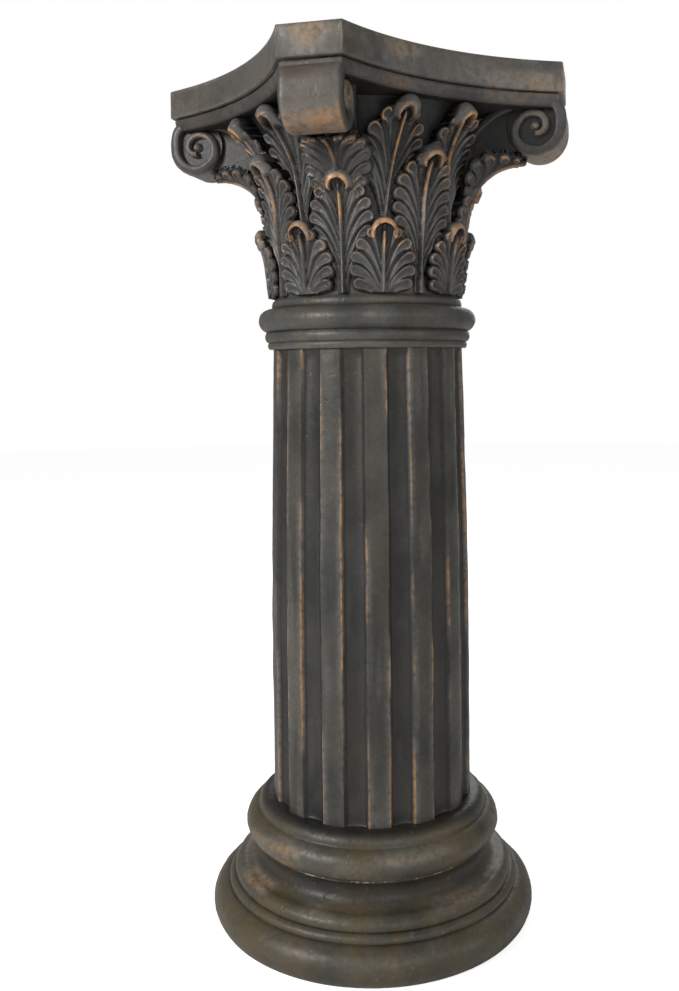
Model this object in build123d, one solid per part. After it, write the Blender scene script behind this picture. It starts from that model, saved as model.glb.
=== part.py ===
"""Corinthian column pedestal, cast in one piece as a shell that is open underneath.

The axis of the column is Z and the foot stands on Z = 0. The sides of the top slab are square to
X and Y, so the four corners, each with a volute under it, point along the diagonals.
"""
import os
from dataclasses import dataclass
from math import atan2, cos, degrees, hypot, pi, radians, sin, sqrt, tan

from build123d import *

# Foot: a large rounded course, two beads, a hollow and a smaller rounded course
FOOT_RADIUS = 165.1
FOOT_COURSE_HEIGHT = 33.0
FOOT_SOLE_INSET = 5.6
FOOT_TOP_RADIUS = 149.0
LOWER_BEAD_HEIGHT = 7.5
LOWER_BEAD_BULGE = 2.5
BEAD_SEAM_RADIUS = 142.5
UPPER_BEAD_HEIGHT = 11.5
UPPER_BEAD_BULGE = 2.5
HOLLOW_LIP_RADIUS = 135.0
HOLLOW_HEIGHT = 24.5
HOLLOW_WAIST_RADIUS = 117.0
HOLLOW_WAIST_SHARE = 0.55
HOLLOW_TOP_RADIUS = 121.0
SMALL_COURSE_HEIGHT = 29.5
SMALL_COURSE_RADIUS = 130.6
SMALL_COURSE_CREST_SHARE = 0.55
SMALL_COURSE_TOP_RADIUS = 119.0
TOE_HEIGHT = 11.0
TOE_RADIUS = 118.0
TOE_SIDE_SHARE = 0.4

# Shaft with its flutes
FLUTE_COUNT = 14
SHAFT_LENGTH = 460.0
SHAFT_STRAIGHT_SHARE = 0.4
SHAFT_FOOT_RADIUS = 102.4
SHAFT_TOP_RADIUS = 97.7
FLUTE_DEPTH = 4.6
RIDGE_HALF_ANGLE = 6.4
FIRST_RIDGE_ANGLE = -117.4

# Neck rings between the shaft and the capital
LOWER_RING_HEIGHT = 7.0
LOWER_RING_RADIUS = 102.6
UPPER_RING_HEIGHT = 10.0
UPPER_RING_RADIUS = 105.2
ROUND_RING_HEIGHT = 24.0
ROUND_RING_RADIUS = 112.3
ROUND_RING_LEDGE = 4.0
COLLAR_HEIGHT = 11.0
COLLAR_RADIUS = 97.5
CORE_CLEARANCE = 1.0

# Bell of the capital: straight below, flaring above
BELL_HEIGHT = 179.0
BELL_FOOT_RADIUS = 94.0
BELL_WAIST_RADIUS = 97.0
BELL_WAIST_HEIGHT = 100.0
BELL_LIP_RADIUS = 122.0
BELL_EMBED = 4.0
STRIPS = 24

# Top slab with hollow sides, cut corners and a narrow moulding below
SLAB_SIDE = 330.2
SLAB_CORNER_CUT = 42.0
SLAB_SIDE_HOLLOW = 24.0
SLAB_EDGE_HEIGHT = 29.2
GROOVE_HEIGHT = 1.7
GROOVE_DEPTH = 6.0
MOULDING_HEIGHT = 12.0
MOULDING_INSET = 4.0
MOULDING_SLOPE = 4.0

# Cavity that the casting leaves inside
SOLE_WIDTH = 11.0
CAVITY_FOOT_HEIGHT = 12.0
CAVITY_CONE_HEIGHT = 76.0
CAVITY_SHAFT_RADIUS = 87.0
CAVITY_ROOF_RADIUS = 104.0
CAVITY_ROOF_HEIGHT = 46.0
ROOF_THICKNESS = 14.0


@dataclass(frozen=True)
class Leaf:
    """One leaf of the capital, measured from the foot of the bell."""

    foot: float           # height of its foot
    tip: float            # height of the top of its curled tip
    reach: float          # radius that the tip curls out to
    half_width: float     # half of its width over the widest fingers
    thickness: float      # how far it stands out from the bell
    tip_half_width: float
    tip_drop: float       # height from the top of the tip down to its lip
    swing_height: float   # height over which the tip swings out
    fingers: int          # fingers on each side
    first_finger: float   # height of the lowest finger's root
    lean: float = 0.0     # how far the tip leans to one side
    stem_half_width: float = 4.0


LOWER_LEAF = Leaf(0.0, 70.0, 116.0, 33.0, 8.0, 12.0, 12.0, 24.0, 4, 0.0)
CORNER_LEAF = Leaf(0.0, 117.0, 122.0, 33.0, 5.5, 14.0, 15.0, 28.0, 3, 52.0)
SIDE_LEAF = Leaf(0.0, 138.5, 131.0, 33.0, 5.5, 13.5, 15.0, 34.0, 4, 60.0)
UPPER_LEAF = Leaf(96.0, 178.0, 143.0, 29.0, 3.5, 13.0, 15.0, 44.0, 2, 118.0, lean=14.0)
LOWER_LEAF_ANGLE = 22.5
UPPER_LEAF_ANGLE = 21.0

# Shape that all leaves share, as shares of a finger's step, a leaf's width or its tip
TOP_FINGER_GAP = 0.6
LOW_FINGER_WIDTH = 0.8
FINGER_SIDE = 0.62
FINGER_END = 1.08
FINGER_END_WIDTH = 0.84
NOTCH_WIDTH = 0.36
NOTCH_RISE = 0.62
LEAN_POWER = 1.5
TIP_BACK = 0.4
TIP_CREST = 0.4
TIP_SHOULDER_WIDTH = 0.7
TIP_SHOULDER_DROP = 0.15

# Fan leaf under each volute: its underside as radius and height above the foot of the bell
FAN_UNDERSIDE = ((94.0, 70.0), (106.0, 90.0), (114.0, 108.0), (131.0, 125.0), (151.0, 132.0), (166.0, 128.0))
FAN_THICKNESS = 8.0
FAN_FRONT = ((6.0, 74.0), (27.0, 92.0), (14.0, 97.0), (31.0, 112.0))
FAN_PLAN = ((0.0, 31.0), (130.0, 31.0), (132.0, 17.0), (146.0, 21.0), (166.0, 5.0))

# Volutes under the corners of the slab
SCROLL_RADIUS = 28.5
SCROLL_WIDTH = 60.0
SCROLL_EDGE = 6.0
SCROLL_CHORDS = 16
SCROLL_REACH = 207.0
SCROLL_RISE = 9.5
EYE_GROOVE_RADIUS = 19.0
EYE_GROOVE_WIDTH = 4.0
EYE_GROOVE_DEPTH = 4.0
EYE_GROOVE_TURNS = 1.1
EYE_GROOVE_CHORDS = 7
EYE_GROOVE_START = 0.8
EYE_GROOVE_CLOSING = 0.55
EYE_GROOVE_NARROWING = 0.5
BAND_WIDTH = 50.0
BAND_THICKNESS = 9.0
BAND_FALL = 34.0
BAND_SAG = 7.0
NECK_WIDTH = 34.0
NECK_FOOT = 112.0
NECK_HOLLOW = 9.0
NECK_TIP_BACK = 0.45
NECK_TIP_DROP = 0.6

# Heights of the courses, stacked from the floor
foot_top = FOOT_COURSE_HEIGHT
seam_height = foot_top + LOWER_BEAD_HEIGHT
bead_top = seam_height + UPPER_BEAD_HEIGHT
hollow_top = bead_top + HOLLOW_HEIGHT
small_course_top = hollow_top + SMALL_COURSE_HEIGHT
shaft_foot = small_course_top + TOE_HEIGHT
shaft_top = shaft_foot + SHAFT_LENGTH
lower_ring_top = shaft_top + LOWER_RING_HEIGHT
upper_ring_top = lower_ring_top + UPPER_RING_HEIGHT
round_ring_top = upper_ring_top + ROUND_RING_HEIGHT
bell_foot = round_ring_top + COLLAR_HEIGHT
bell_top = bell_foot + BELL_HEIGHT
moulding_top = bell_top + MOULDING_HEIGHT
slab_foot = moulding_top + GROOVE_HEIGHT
total_height = slab_foot + SLAB_EDGE_HEIGHT


def bell_radius(height: float) -> float:
    """Radius of the bell at a height above its foot."""
    if height <= BELL_WAIST_HEIGHT:
        return BELL_FOOT_RADIUS + (BELL_WAIST_RADIUS - BELL_FOOT_RADIUS) * height / BELL_WAIST_HEIGHT
    flare = BELL_LIP_RADIUS - BELL_WAIST_RADIUS
    sweep = (flare ** 2 + (BELL_HEIGHT - BELL_WAIST_HEIGHT) ** 2) / (2 * flare)
    return BELL_WAIST_RADIUS + sweep - sqrt(sweep ** 2 - (height - BELL_WAIST_HEIGHT) ** 2)


def chords(start, middle, end, count: int):
    """Points along the arc through three points, start and end among them."""
    (ax, ay), (bx, by), (cx, cy) = start, middle, end
    twice = 2 * (ax * (by - cy) + bx * (cy - ay) + cx * (ay - by))
    a2, b2, c2 = ax * ax + ay * ay, bx * bx + by * by, cx * cx + cy * cy
    ox = (a2 * (by - cy) + b2 * (cy - ay) + c2 * (ay - by)) / twice
    oy = (a2 * (cx - bx) + b2 * (ax - cx) + c2 * (bx - ax)) / twice
    radius = hypot(ax - ox, ay - oy)
    first = atan2(ay - oy, ax - ox)
    half = (atan2(by - oy, bx - ox) - first + pi) % (2 * pi) - pi
    rest = (atan2(cy - oy, cx - ox) - first - half + pi) % (2 * pi) - pi
    sweep = half + rest
    angles = [first + sweep * i / count for i in range(count + 1)]
    return [(ox + radius * cos(angle), oy + radius * sin(angle)) for angle in angles]


def swelling(start, end, amount: float, count: int):
    """Chords of an arc that swells by amount to the right of the way from start to end."""
    dx = end[0] - start[0]
    dz = end[1] - start[1]
    span = hypot(dx, dz)
    middle = ((start[0] + end[0]) / 2 + dz / span * amount, (start[1] + end[1]) / 2 - dx / span * amount)
    return chords(start, middle, end, count)


def turned_body():
    """Everything that is turned about the axis, from the sole to the collar under the bell."""
    sole = (FOOT_RADIUS - FOOT_SOLE_INSET, 0)
    foot_side = (FOOT_RADIUS, foot_top / 2)
    foot_end = (FOOT_TOP_RADIUS, foot_top)
    seam = (BEAD_SEAM_RADIUS, seam_height)
    lip = (HOLLOW_LIP_RADIUS, bead_top)
    waist = (HOLLOW_WAIST_RADIUS, bead_top + HOLLOW_HEIGHT * HOLLOW_WAIST_SHARE)
    hollow_end = (HOLLOW_TOP_RADIUS, hollow_top)
    small_side = (SMALL_COURSE_RADIUS, hollow_top + SMALL_COURSE_HEIGHT * SMALL_COURSE_CREST_SHARE)
    small_end = (SMALL_COURSE_TOP_RADIUS, small_course_top)
    toe_side = (TOE_RADIUS, small_course_top + TOE_HEIGHT * TOE_SIDE_SHARE)
    toe_top = (SHAFT_FOOT_RADIUS, shaft_foot)
    core = SHAFT_TOP_RADIUS - FLUTE_DEPTH - CORE_CLEARANCE
    ring_start = (UPPER_RING_RADIUS, upper_ring_top)
    ring_side = (ROUND_RING_RADIUS, upper_ring_top + ROUND_RING_HEIGHT / 2)
    ring_end = (COLLAR_RADIUS + ROUND_RING_LEDGE, round_ring_top)
    outline = [(0, 0)]
    outline += chords(sole, foot_side, foot_end, 4)
    outline += swelling(foot_end, seam, LOWER_BEAD_BULGE, 2)[1:]
    outline += swelling(seam, lip, UPPER_BEAD_BULGE, 2)[1:]
    outline += chords(lip, waist, hollow_end, 3)[1:]
    outline += chords(hollow_end, small_side, small_end, 3)[1:]
    outline += [toe_side, toe_top]
    outline += [(core, shaft_foot), (core, shaft_top), (LOWER_RING_RADIUS, shaft_top)]
    outline += [(LOWER_RING_RADIUS, lower_ring_top), (UPPER_RING_RADIUS, lower_ring_top)]
    outline += chords(ring_start, ring_side, ring_end, 3)
    outline += [(COLLAR_RADIUS, round_ring_top), (COLLAR_RADIUS, bell_foot), (0, bell_foot)]
    with BuildSketch(Plane.XZ) as section:
        with BuildLine():
            Polyline(outline, close=True)
        make_face()
    return revolve(section.sketch, Axis.Z)


def fluted_section(radius: float, height: float):
    """Outline of the shaft at one height: flat ridges with hollow flutes between them."""
    pitch = 360 / FLUTE_COUNT
    with BuildSketch(Plane.XY.offset(height)) as section:
        with BuildLine():
            for i in range(FLUTE_COUNT):
                middle = FIRST_RIDGE_ANGLE + i * pitch
                ridge_start = polar(radius, middle - RIDGE_HALF_ANGLE)
                ridge_end = polar(radius, middle + RIDGE_HALF_ANGLE)
                next_ridge = polar(radius, middle + pitch - RIDGE_HALF_ANGLE)
                Line(ridge_start, ridge_end)
                ThreePointArc(ridge_end, polar(radius - FLUTE_DEPTH, middle + pitch / 2), next_ridge)
        make_face()
    return section.sketch


def faceted(stations):
    """Round form laid up in flat strips, through a radius and a height at each station."""
    rings = []
    for radius, height in stations:
        corner = radius / sqrt(cos(pi / STRIPS))
        with BuildSketch(Plane.XY.offset(height)) as ring:
            RegularPolygon(corner, STRIPS)
        rings.append(ring.sketch)
    return loft(rings, ruled=True)


def bell():
    """Bell of the capital, straight below and flaring under the slab."""
    heights = [0, BELL_WAIST_HEIGHT, (BELL_WAIST_HEIGHT + BELL_HEIGHT) / 2, BELL_HEIGHT]
    return faceted([(bell_radius(height), bell_foot + height) for height in heights])


def polar(radius: float, angle: float):
    """Point in the plan at a radius and an angle in degrees."""
    return (radius * cos(radians(angle)), radius * sin(radians(angle)))


def shaft():
    """Fluted shaft, straight below and tapering above."""
    taper_start = shaft_foot + SHAFT_LENGTH * SHAFT_STRAIGHT_SHARE
    lower = extrude(fluted_section(SHAFT_FOOT_RADIUS, shaft_foot), SHAFT_LENGTH * SHAFT_STRAIGHT_SHARE)
    upper = loft(
        [fluted_section(SHAFT_FOOT_RADIUS, taper_start), fluted_section(SHAFT_TOP_RADIUS, shaft_top)],
        ruled=True,
    )
    return [lower, upper]


def quarter_turned(point, quarters: int):
    """A point of the plan after some quarter turns about the axis."""
    x, y = point
    for _ in range(quarters):
        x, y = -y, x
    return (x, y)


def slab_outline(inset: float, height: float):
    """Plan of the slab: a square with cut corners and hollow sides, drawn in by inset."""
    half = SLAB_SIDE / 2 - inset
    run = half - SLAB_CORNER_CUT + inset * (2 - sqrt(2))
    with BuildSketch(Plane.XY.offset(height)) as section:
        with BuildLine():
            for i in range(4):
                start = quarter_turned((half, -run), i)
                middle = quarter_turned((half - SLAB_SIDE_HOLLOW, 0), i)
                end = quarter_turned((half, run), i)
                cut = quarter_turned((run, half), i)
                ThreePointArc(start, middle, end)
                Line(end, cut)
        make_face()
    return section.sketch


def slab():
    """Top slab and the narrow moulding under it."""
    edge = extrude(slab_outline(0, slab_foot), SLAB_EDGE_HEIGHT)
    groove = extrude(slab_outline(GROOVE_DEPTH, moulding_top), GROOVE_HEIGHT)
    moulding = loft(
        [
            slab_outline(MOULDING_INSET + MOULDING_SLOPE, bell_top),
            slab_outline(MOULDING_INSET, moulding_top),
        ],
        ruled=True,
    )
    return [edge, groove, moulding]


def leaf_section(leaf: Leaf):
    """Upright section of a leaf: it hugs the bell, swings out and curls over at the tip."""
    lip_height = leaf.tip - leaf.tip_drop
    swing = lip_height - leaf.swing_height
    back_height = leaf.tip - leaf.tip_drop * TIP_BACK
    root = (bell_radius(leaf.foot) - BELL_EMBED, bell_foot + leaf.foot)
    foot = (bell_radius(leaf.foot) + leaf.thickness, bell_foot + leaf.foot)
    bend = (bell_radius(swing) + leaf.thickness, bell_foot + swing)
    lip = (leaf.reach, bell_foot + lip_height)
    crest = (leaf.reach - leaf.tip_drop * TIP_CREST, bell_foot + leaf.tip)
    back = (bell_radius(back_height) - BELL_EMBED, bell_foot + back_height)
    outline = [root, foot]
    span = hypot(lip[0] - bend[0], lip[1] - bend[1])
    outline += swelling(bend, lip, -span / 2 * tan(atan2(lip[0] - bend[0], lip[1] - bend[1]) / 2), 2)
    outline += [crest, back, (bell_radius(swing) - BELL_EMBED, bell_foot + swing)]
    with BuildSketch(Plane.XZ) as section:
        with BuildLine():
            Polyline(outline, close=True)
        make_face()
    return section.sketch


def half_outline(leaf: Leaf, side: int):
    """Front outline of one half of a leaf: fingers along the stem, then half of the round tip."""
    lip_height = leaf.tip - leaf.tip_drop
    step = (lip_height - leaf.first_finger) / (leaf.fingers + TOP_FINGER_GAP)

    def stem(height):
        return leaf.lean * ((height - leaf.foot) / (leaf.tip - leaf.foot)) ** LEAN_POWER

    points = [(0, leaf.foot)]
    if leaf.first_finger > leaf.foot:
        points.append((side * leaf.stem_half_width, leaf.foot))
    points.append((stem(leaf.first_finger) + side * leaf.stem_half_width, leaf.first_finger))
    for i in range(leaf.fingers):
        root = leaf.first_finger + step * i
        middle = stem(root + step)
        swell = sin(pi * (i + LOW_FINGER_WIDTH) / leaf.fingers)
        spread = leaf.half_width * (LOW_FINGER_WIDTH + (1 - LOW_FINGER_WIDTH) * swell)
        points.append((middle + side * spread, root + step * FINGER_SIDE))
        points.append((middle + side * spread * FINGER_END_WIDTH, root + step * FINGER_END))
        points.append((middle + side * spread * NOTCH_WIDTH, root + step * NOTCH_RISE))
    shoulder = leaf.tip - leaf.tip_drop * TIP_SHOULDER_DROP
    points.append((stem(lip_height) + side * leaf.tip_half_width, lip_height))
    points.append((stem(leaf.tip) + side * leaf.tip_half_width * TIP_SHOULDER_WIDTH, shoulder))
    points.append((stem(leaf.tip), leaf.tip))
    with BuildSketch(Plane.YZ) as outline:
        with BuildLine():
            Polyline([(y, bell_foot + z) for y, z in points], close=True)
        make_face()
    return outline.sketch


def leaf_solid(leaf: Leaf):
    """One leaf, standing on the side of the bell that faces +X, its two halves folded back a little."""
    fold = degrees(atan2(leaf.half_width, BELL_FOOT_RADIUS)) / 2
    halves = []
    for side in (1, -1):
        plate = extrude(leaf_section(leaf), 3 * leaf.half_width, both=True)
        cutter = extrude(half_outline(leaf, side), SLAB_SIDE / 2)
        halves.append((Rotation(0, 0, side * fold) * plate) & cutter)
    return halves[0].fuse(halves[1])


def both_sides(points):
    """Closed outline from the points of one side, mirrored about the line x = 0."""
    return list(points) + [(-x, y) for x, y in reversed(points)]


def fan_leaf():
    """Leaf under a volute, bent forward until its tip is level, facing +X."""
    underside = [(radius, bell_foot + height) for radius, height in FAN_UNDERSIDE]
    upper = [(radius, height + FAN_THICKNESS) for radius, height in reversed(underside)]
    front = [(width, bell_foot + height) for width, height in FAN_FRONT]
    front.append((front[-1][0], bell_top))
    plan = both_sides([(width, radius) for radius, width in FAN_PLAN])
    with BuildSketch(Plane.XZ) as section:
        with BuildLine():
            Polyline(underside + upper, close=True)
        make_face()
    with BuildSketch(Plane.YZ) as face:
        with BuildLine():
            Polyline(both_sides(front), close=True)
        make_face()
    with BuildSketch(Plane.XY.offset(bell_foot)) as spread:
        with BuildLine():
            Polyline([(radius, width) for width, radius in plan], close=True)
        make_face()
    leaf = extrude(section.sketch, FAN_FRONT[-1][0], both=True)
    leaf &= extrude(face.sketch, SLAB_SIDE)
    return leaf & extrude(spread.sketch, BELL_HEIGHT)


def scroll_disc(centre):
    """Rolled end of a volute, with sloped edges."""
    flat = SCROLL_WIDTH / 2 - SCROLL_EDGE
    rings = []
    for place, radius in (
        (flat + SCROLL_EDGE, SCROLL_RADIUS - SCROLL_EDGE),
        (flat, SCROLL_RADIUS),
        (-flat, SCROLL_RADIUS),
        (-flat - SCROLL_EDGE, SCROLL_RADIUS - SCROLL_EDGE),
    ):
        with BuildSketch(Plane.XZ.offset(place)) as ring:
            with Locations(centre):
                RegularPolygon(radius, SCROLL_CHORDS)
        rings.append(ring.sketch)
    return loft(rings, ruled=True)


def eye_groove(centre):
    """Spiral that is cut into both faces of a scroll."""
    outer = []
    inner = []
    for i in range(EYE_GROOVE_CHORDS + 1):
        share = i / EYE_GROOVE_CHORDS
        angle = pi * EYE_GROOVE_START - 2 * pi * EYE_GROOVE_TURNS * share
        radius = EYE_GROOVE_RADIUS * (1 - EYE_GROOVE_CLOSING * share)
        width = EYE_GROOVE_WIDTH * (1 - EYE_GROOVE_NARROWING * share)
        outer.append((centre[0] + radius * cos(angle), centre[1] + radius * sin(angle)))
        inner.append((centre[0] + (radius - width) * cos(angle), centre[1] + (radius - width) * sin(angle)))
    with BuildSketch(Plane.XZ) as groove:
        with BuildLine():
            Polyline(outer + inner[::-1], close=True)
        make_face()
    return extrude(groove.sketch, EYE_GROOVE_DEPTH)


def volute():
    """Scroll under a corner, with the band and the neck that run back to the bell, facing +X."""
    centre = (SCROLL_REACH - SCROLL_RADIUS, bell_top + SCROLL_RISE - SCROLL_RADIUS)
    crown = (centre[0], centre[1] + SCROLL_RADIUS)
    band_root = (bell_radius(BELL_HEIGHT - BAND_FALL) - BELL_EMBED, bell_top - BAND_FALL)
    with BuildSketch(Plane.XZ) as band:
        with BuildLine():
            upper = swelling(crown, band_root, BAND_SAG, 3)
            lower = [(x, z - BAND_THICKNESS) for x, z in upper]
            Polyline(upper + lower[::-1], close=True)
        make_face()
    neck_root = (bell_radius(NECK_FOOT) - BELL_EMBED, bell_foot + NECK_FOOT)
    neck_tip = (centre[0] - SCROLL_RADIUS * NECK_TIP_BACK, centre[1] - SCROLL_RADIUS * NECK_TIP_DROP)
    with BuildSketch(Plane.XZ) as neck:
        with BuildLine():
            under = swelling(neck_root, neck_tip, -NECK_HOLLOW, 3)
            Polyline(under + [centre] + lower, close=True)
        make_face()
    body = scroll_disc(centre)
    body += extrude(band.sketch, BAND_WIDTH / 2, both=True)
    body += extrude(neck.sketch, NECK_WIDTH / 2, both=True)
    cutter = eye_groove(centre)
    for place in (SCROLL_WIDTH / 2, -SCROLL_WIDTH / 2 + EYE_GROOVE_DEPTH):
        body -= Pos(0, place, 0) * cutter
    return body


def cavity():
    """Space inside the casting, open at the sole."""
    roof = total_height - ROOF_THICKNESS
    roof_foot = roof - CAVITY_ROOF_HEIGHT
    mouth = FOOT_RADIUS - FOOT_SOLE_INSET - SOLE_WIDTH
    lower = faceted([
        (mouth, 0),
        (mouth, CAVITY_FOOT_HEIGHT),
        (CAVITY_SHAFT_RADIUS, CAVITY_FOOT_HEIGHT + CAVITY_CONE_HEIGHT),
        (CAVITY_SHAFT_RADIUS, roof_foot),
    ])
    return lower + faceted([(CAVITY_ROOF_RADIUS, roof_foot), (CAVITY_ROOF_RADIUS, roof)])


def capital_pieces():
    """Leaves of all rows and the four volutes, each at its own place round the bell."""
    pieces = []
    lower = leaf_solid(LOWER_LEAF)
    corner = leaf_solid(CORNER_LEAF)
    side = leaf_solid(SIDE_LEAF)
    upper = leaf_solid(UPPER_LEAF)
    upper_mirrored = mirror(upper, Plane.XZ)
    scroll = volute()
    fan = fan_leaf()
    for i in range(4):
        corner_angle = 45 + 90 * i
        side_angle = 90 * i
        for offset in (-LOWER_LEAF_ANGLE, LOWER_LEAF_ANGLE):
            pieces.append(Rotation(0, 0, side_angle + offset) * lower)
        pieces.append(Rotation(0, 0, corner_angle) * corner)
        pieces.append(Rotation(0, 0, side_angle) * side)
        pieces.append(Rotation(0, 0, side_angle - UPPER_LEAF_ANGLE) * upper)
        pieces.append(Rotation(0, 0, side_angle + UPPER_LEAF_ANGLE) * upper_mirrored)
        pieces.append(Rotation(0, 0, corner_angle) * scroll)
        pieces.append(Rotation(0, 0, corner_angle) * fan)
    return pieces


def pedestal():
    """The whole casting."""
    body = turned_body()
    body = body.fuse(*shaft(), bell(), *slab(), *capital_pieces())
    return body - cavity()


os.makedirs("parts", exist_ok=True)
casting = pedestal()
export_step(casting, "parts/column_pedestal.step")
print("solids", len(casting.solids()), "volume", round(casting.volume))
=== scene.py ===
"""Looks of a cast column pedestal: dark rubbed paint over a foot, fluted shaft and leaf capital."""
import itertools
import logging
import math
from collections.abc import Iterator
from contextlib import contextmanager
from dataclasses import dataclass, field
from enum import Enum

import bpy
import numpy as np
from mathutils import Matrix, Vector

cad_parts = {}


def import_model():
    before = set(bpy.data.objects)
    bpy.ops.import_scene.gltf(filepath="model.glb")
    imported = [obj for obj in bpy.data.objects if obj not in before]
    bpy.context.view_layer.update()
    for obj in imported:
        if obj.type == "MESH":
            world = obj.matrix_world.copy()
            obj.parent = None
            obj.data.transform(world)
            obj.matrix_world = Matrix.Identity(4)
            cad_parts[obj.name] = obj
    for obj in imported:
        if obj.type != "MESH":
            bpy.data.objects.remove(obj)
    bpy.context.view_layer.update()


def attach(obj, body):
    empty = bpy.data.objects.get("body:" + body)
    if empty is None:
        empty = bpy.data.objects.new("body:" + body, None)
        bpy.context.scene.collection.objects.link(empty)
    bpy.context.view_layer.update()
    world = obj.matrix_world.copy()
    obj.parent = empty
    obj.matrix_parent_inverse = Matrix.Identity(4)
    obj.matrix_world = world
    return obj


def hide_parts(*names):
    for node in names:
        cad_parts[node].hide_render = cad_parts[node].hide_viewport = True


MM = 0.001
BODY = "root"
NODE = "column_pedestal"
HALF_SIDE = 165.1
TOP = 850.9
CAVITY_RADIUS = 87.0
SMOOTH_ANGLE = math.radians(48)

WAVE_CELLS = (31.0, 7.0, 3.1)

log = logging.getLogger("pedestal")


class Region(Enum):
    """Parts of the casting that are painted and rubbed differently."""

    FOOT = "foot"
    SHAFT = "shaft"
    NECK = "neck"
    CAPITAL = "capital"
    VOLUTE = "volute"
    SLAB = "slab"


class SolidNoise:
    """Smooth repeatable noise in space, for the unevenness of a hand-finished casting."""

    def __init__(self, seed: int, size: int = 24) -> None:
        """Fill the lattice.

        Args:
            seed: Start of the random draws.
            size: Lattice points along each side.
        """
        self.size = size
        self.table = np.random.default_rng(seed).uniform(-1.0, 1.0, (size, size, size))

    def at(self, points: np.ndarray, scale: float) -> np.ndarray:
        """Noise between -1 and 1 at some points.

        Args:
            points: Places, one row each.
            scale: Size of one lattice cell, in the same unit.

        Returns:
            One value for each point.
        """
        place = points / scale
        cell = np.floor(place).astype(int)
        part = place - cell
        part = part * part * (3.0 - 2.0 * part)
        total = np.zeros(len(points))
        for corner in itertools.product((0, 1), repeat=3):
            weight = np.prod(np.where(corner, part, 1.0 - part), axis=1)
            total += weight * self.table[tuple(((cell + corner) % self.size).T)]
        return total


def smooth_step(value: np.ndarray, low: float, high: float) -> np.ndarray:
    """Rise from 0 at low to 1 at high, with a soft start and end."""
    share = np.clip((value - low) / (high - low), 0.0, 1.0)
    return share * share * (3.0 - 2.0 * share)


def hump(value: np.ndarray, middle: float, half_width: float) -> np.ndarray:
    """Bell curve that reaches 1 at the middle."""
    return np.exp(-((value - middle) / half_width) ** 2)


def link_object(name: str, data: bpy.types.ID) -> bpy.types.Object:
    """Make an object of some data and put it in the scene."""
    made = bpy.data.objects.new(name, data)
    bpy.context.scene.collection.objects.link(made)
    return made


def make_mesh(name: str, vertices: np.ndarray, faces: list) -> bpy.types.Object:
    """Make a mesh object from millimetre places.

    Args:
        name: Name of the piece.
        vertices: Places in millimetres, one row each.
        faces: Lists of vertex numbers.

    Returns:
        The new object, at the origin.
    """
    mesh = bpy.data.meshes.new(name)
    mesh.from_pydata((np.asarray(vertices) * MM).tolist(), [], faces)
    mesh.validate()
    mesh.update()
    return link_object(name, mesh)


def select_only(piece: bpy.types.Object) -> None:
    """Select one object and make it active."""
    for other in bpy.context.selected_objects:
        other.select_set(False)
    piece.select_set(True)
    bpy.context.view_layer.objects.active = piece


@contextmanager
def editing(piece: bpy.types.Object, action: str = "SELECT") -> Iterator[None]:
    """Edit one mesh, with all of it selected, or none with the action DESELECT."""
    select_only(piece)
    bpy.ops.object.mode_set(mode="EDIT")
    bpy.ops.mesh.select_all(action=action)
    yield
    bpy.ops.object.mode_set(mode="OBJECT")


def shade_smooth(piece: bpy.types.Object) -> None:
    """Shade a mesh smooth, apart from its sharp edges."""
    select_only(piece)
    bpy.ops.object.shade_smooth_by_angle(angle=SMOOTH_ANGLE)
    bpy.ops.object.select_all(action="DESELECT")


def tidy_mesh(piece: bpy.types.Object, merge: float = 0.02) -> None:
    """Merge doubles, turn the normals outward and shade smooth.

    Args:
        piece: Object to tidy.
        merge: Distance in millimetres under which vertices are merged.
    """
    with editing(piece):
        bpy.ops.mesh.remove_doubles(threshold=merge * MM)
        bpy.ops.mesh.normals_make_consistent(inside=False)
    shade_smooth(piece)


def join_pieces(pieces: list[bpy.types.Object], name: str) -> bpy.types.Object:
    """Join objects into the first, name it and shade it smooth."""
    select_only(pieces[0])
    for piece in pieces:
        piece.select_set(True)
    bpy.ops.object.join()
    pieces[0].name = name
    pieces[0].data.name = name
    shade_smooth(pieces[0])
    return pieces[0]


def places_of(piece: bpy.types.Object) -> np.ndarray:
    """Vertex places of a mesh in millimetres."""
    places = np.empty(len(piece.data.vertices) * 3)
    piece.data.vertices.foreach_get("co", places)
    return places.reshape(-1, 3) / MM


def set_places(piece: bpy.types.Object, places: np.ndarray) -> None:
    """Move the vertices of a mesh to places in millimetres."""
    piece.data.vertices.foreach_set("co", (places * MM).ravel())
    piece.data.update()


def normals_of(piece: bpy.types.Object) -> np.ndarray:
    """Vertex normals of a mesh."""
    normals = np.empty(len(piece.data.vertices) * 3)
    piece.data.vertex_normals.foreach_get("vector", normals)
    return normals.reshape(-1, 3)


def spread(values: np.ndarray, edges: np.ndarray, rounds: int) -> np.ndarray:
    """Average values with their neighbours along edges, some rounds over."""
    count = np.bincount(edges.ravel(), minlength=len(values)) + 1.0
    for _ in range(rounds):
        total = values.copy()
        np.add.at(total, edges[:, 0], values[edges[:, 1]])
        np.add.at(total, edges[:, 1], values[edges[:, 0]])
        values = total / count
    return values


def set_marks(piece: bpy.types.Object, **marks: np.ndarray) -> None:
    """Store values for the vertices, under the names they are given with."""
    for name, values in marks.items():
        layer = piece.data.attributes.new(name, "FLOAT", "POINT")
        values = np.broadcast_to(np.asarray(values, dtype=np.float32), len(piece.data.vertices))
        layer.data.foreach_set("value", np.ascontiguousarray(values))


def marks_of(piece: bpy.types.Object, name: str) -> np.ndarray:
    """Values stored for the vertices under a name."""
    values = np.empty(len(piece.data.vertices))
    piece.data.attributes[name].data.foreach_get("value", values)
    return values


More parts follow.
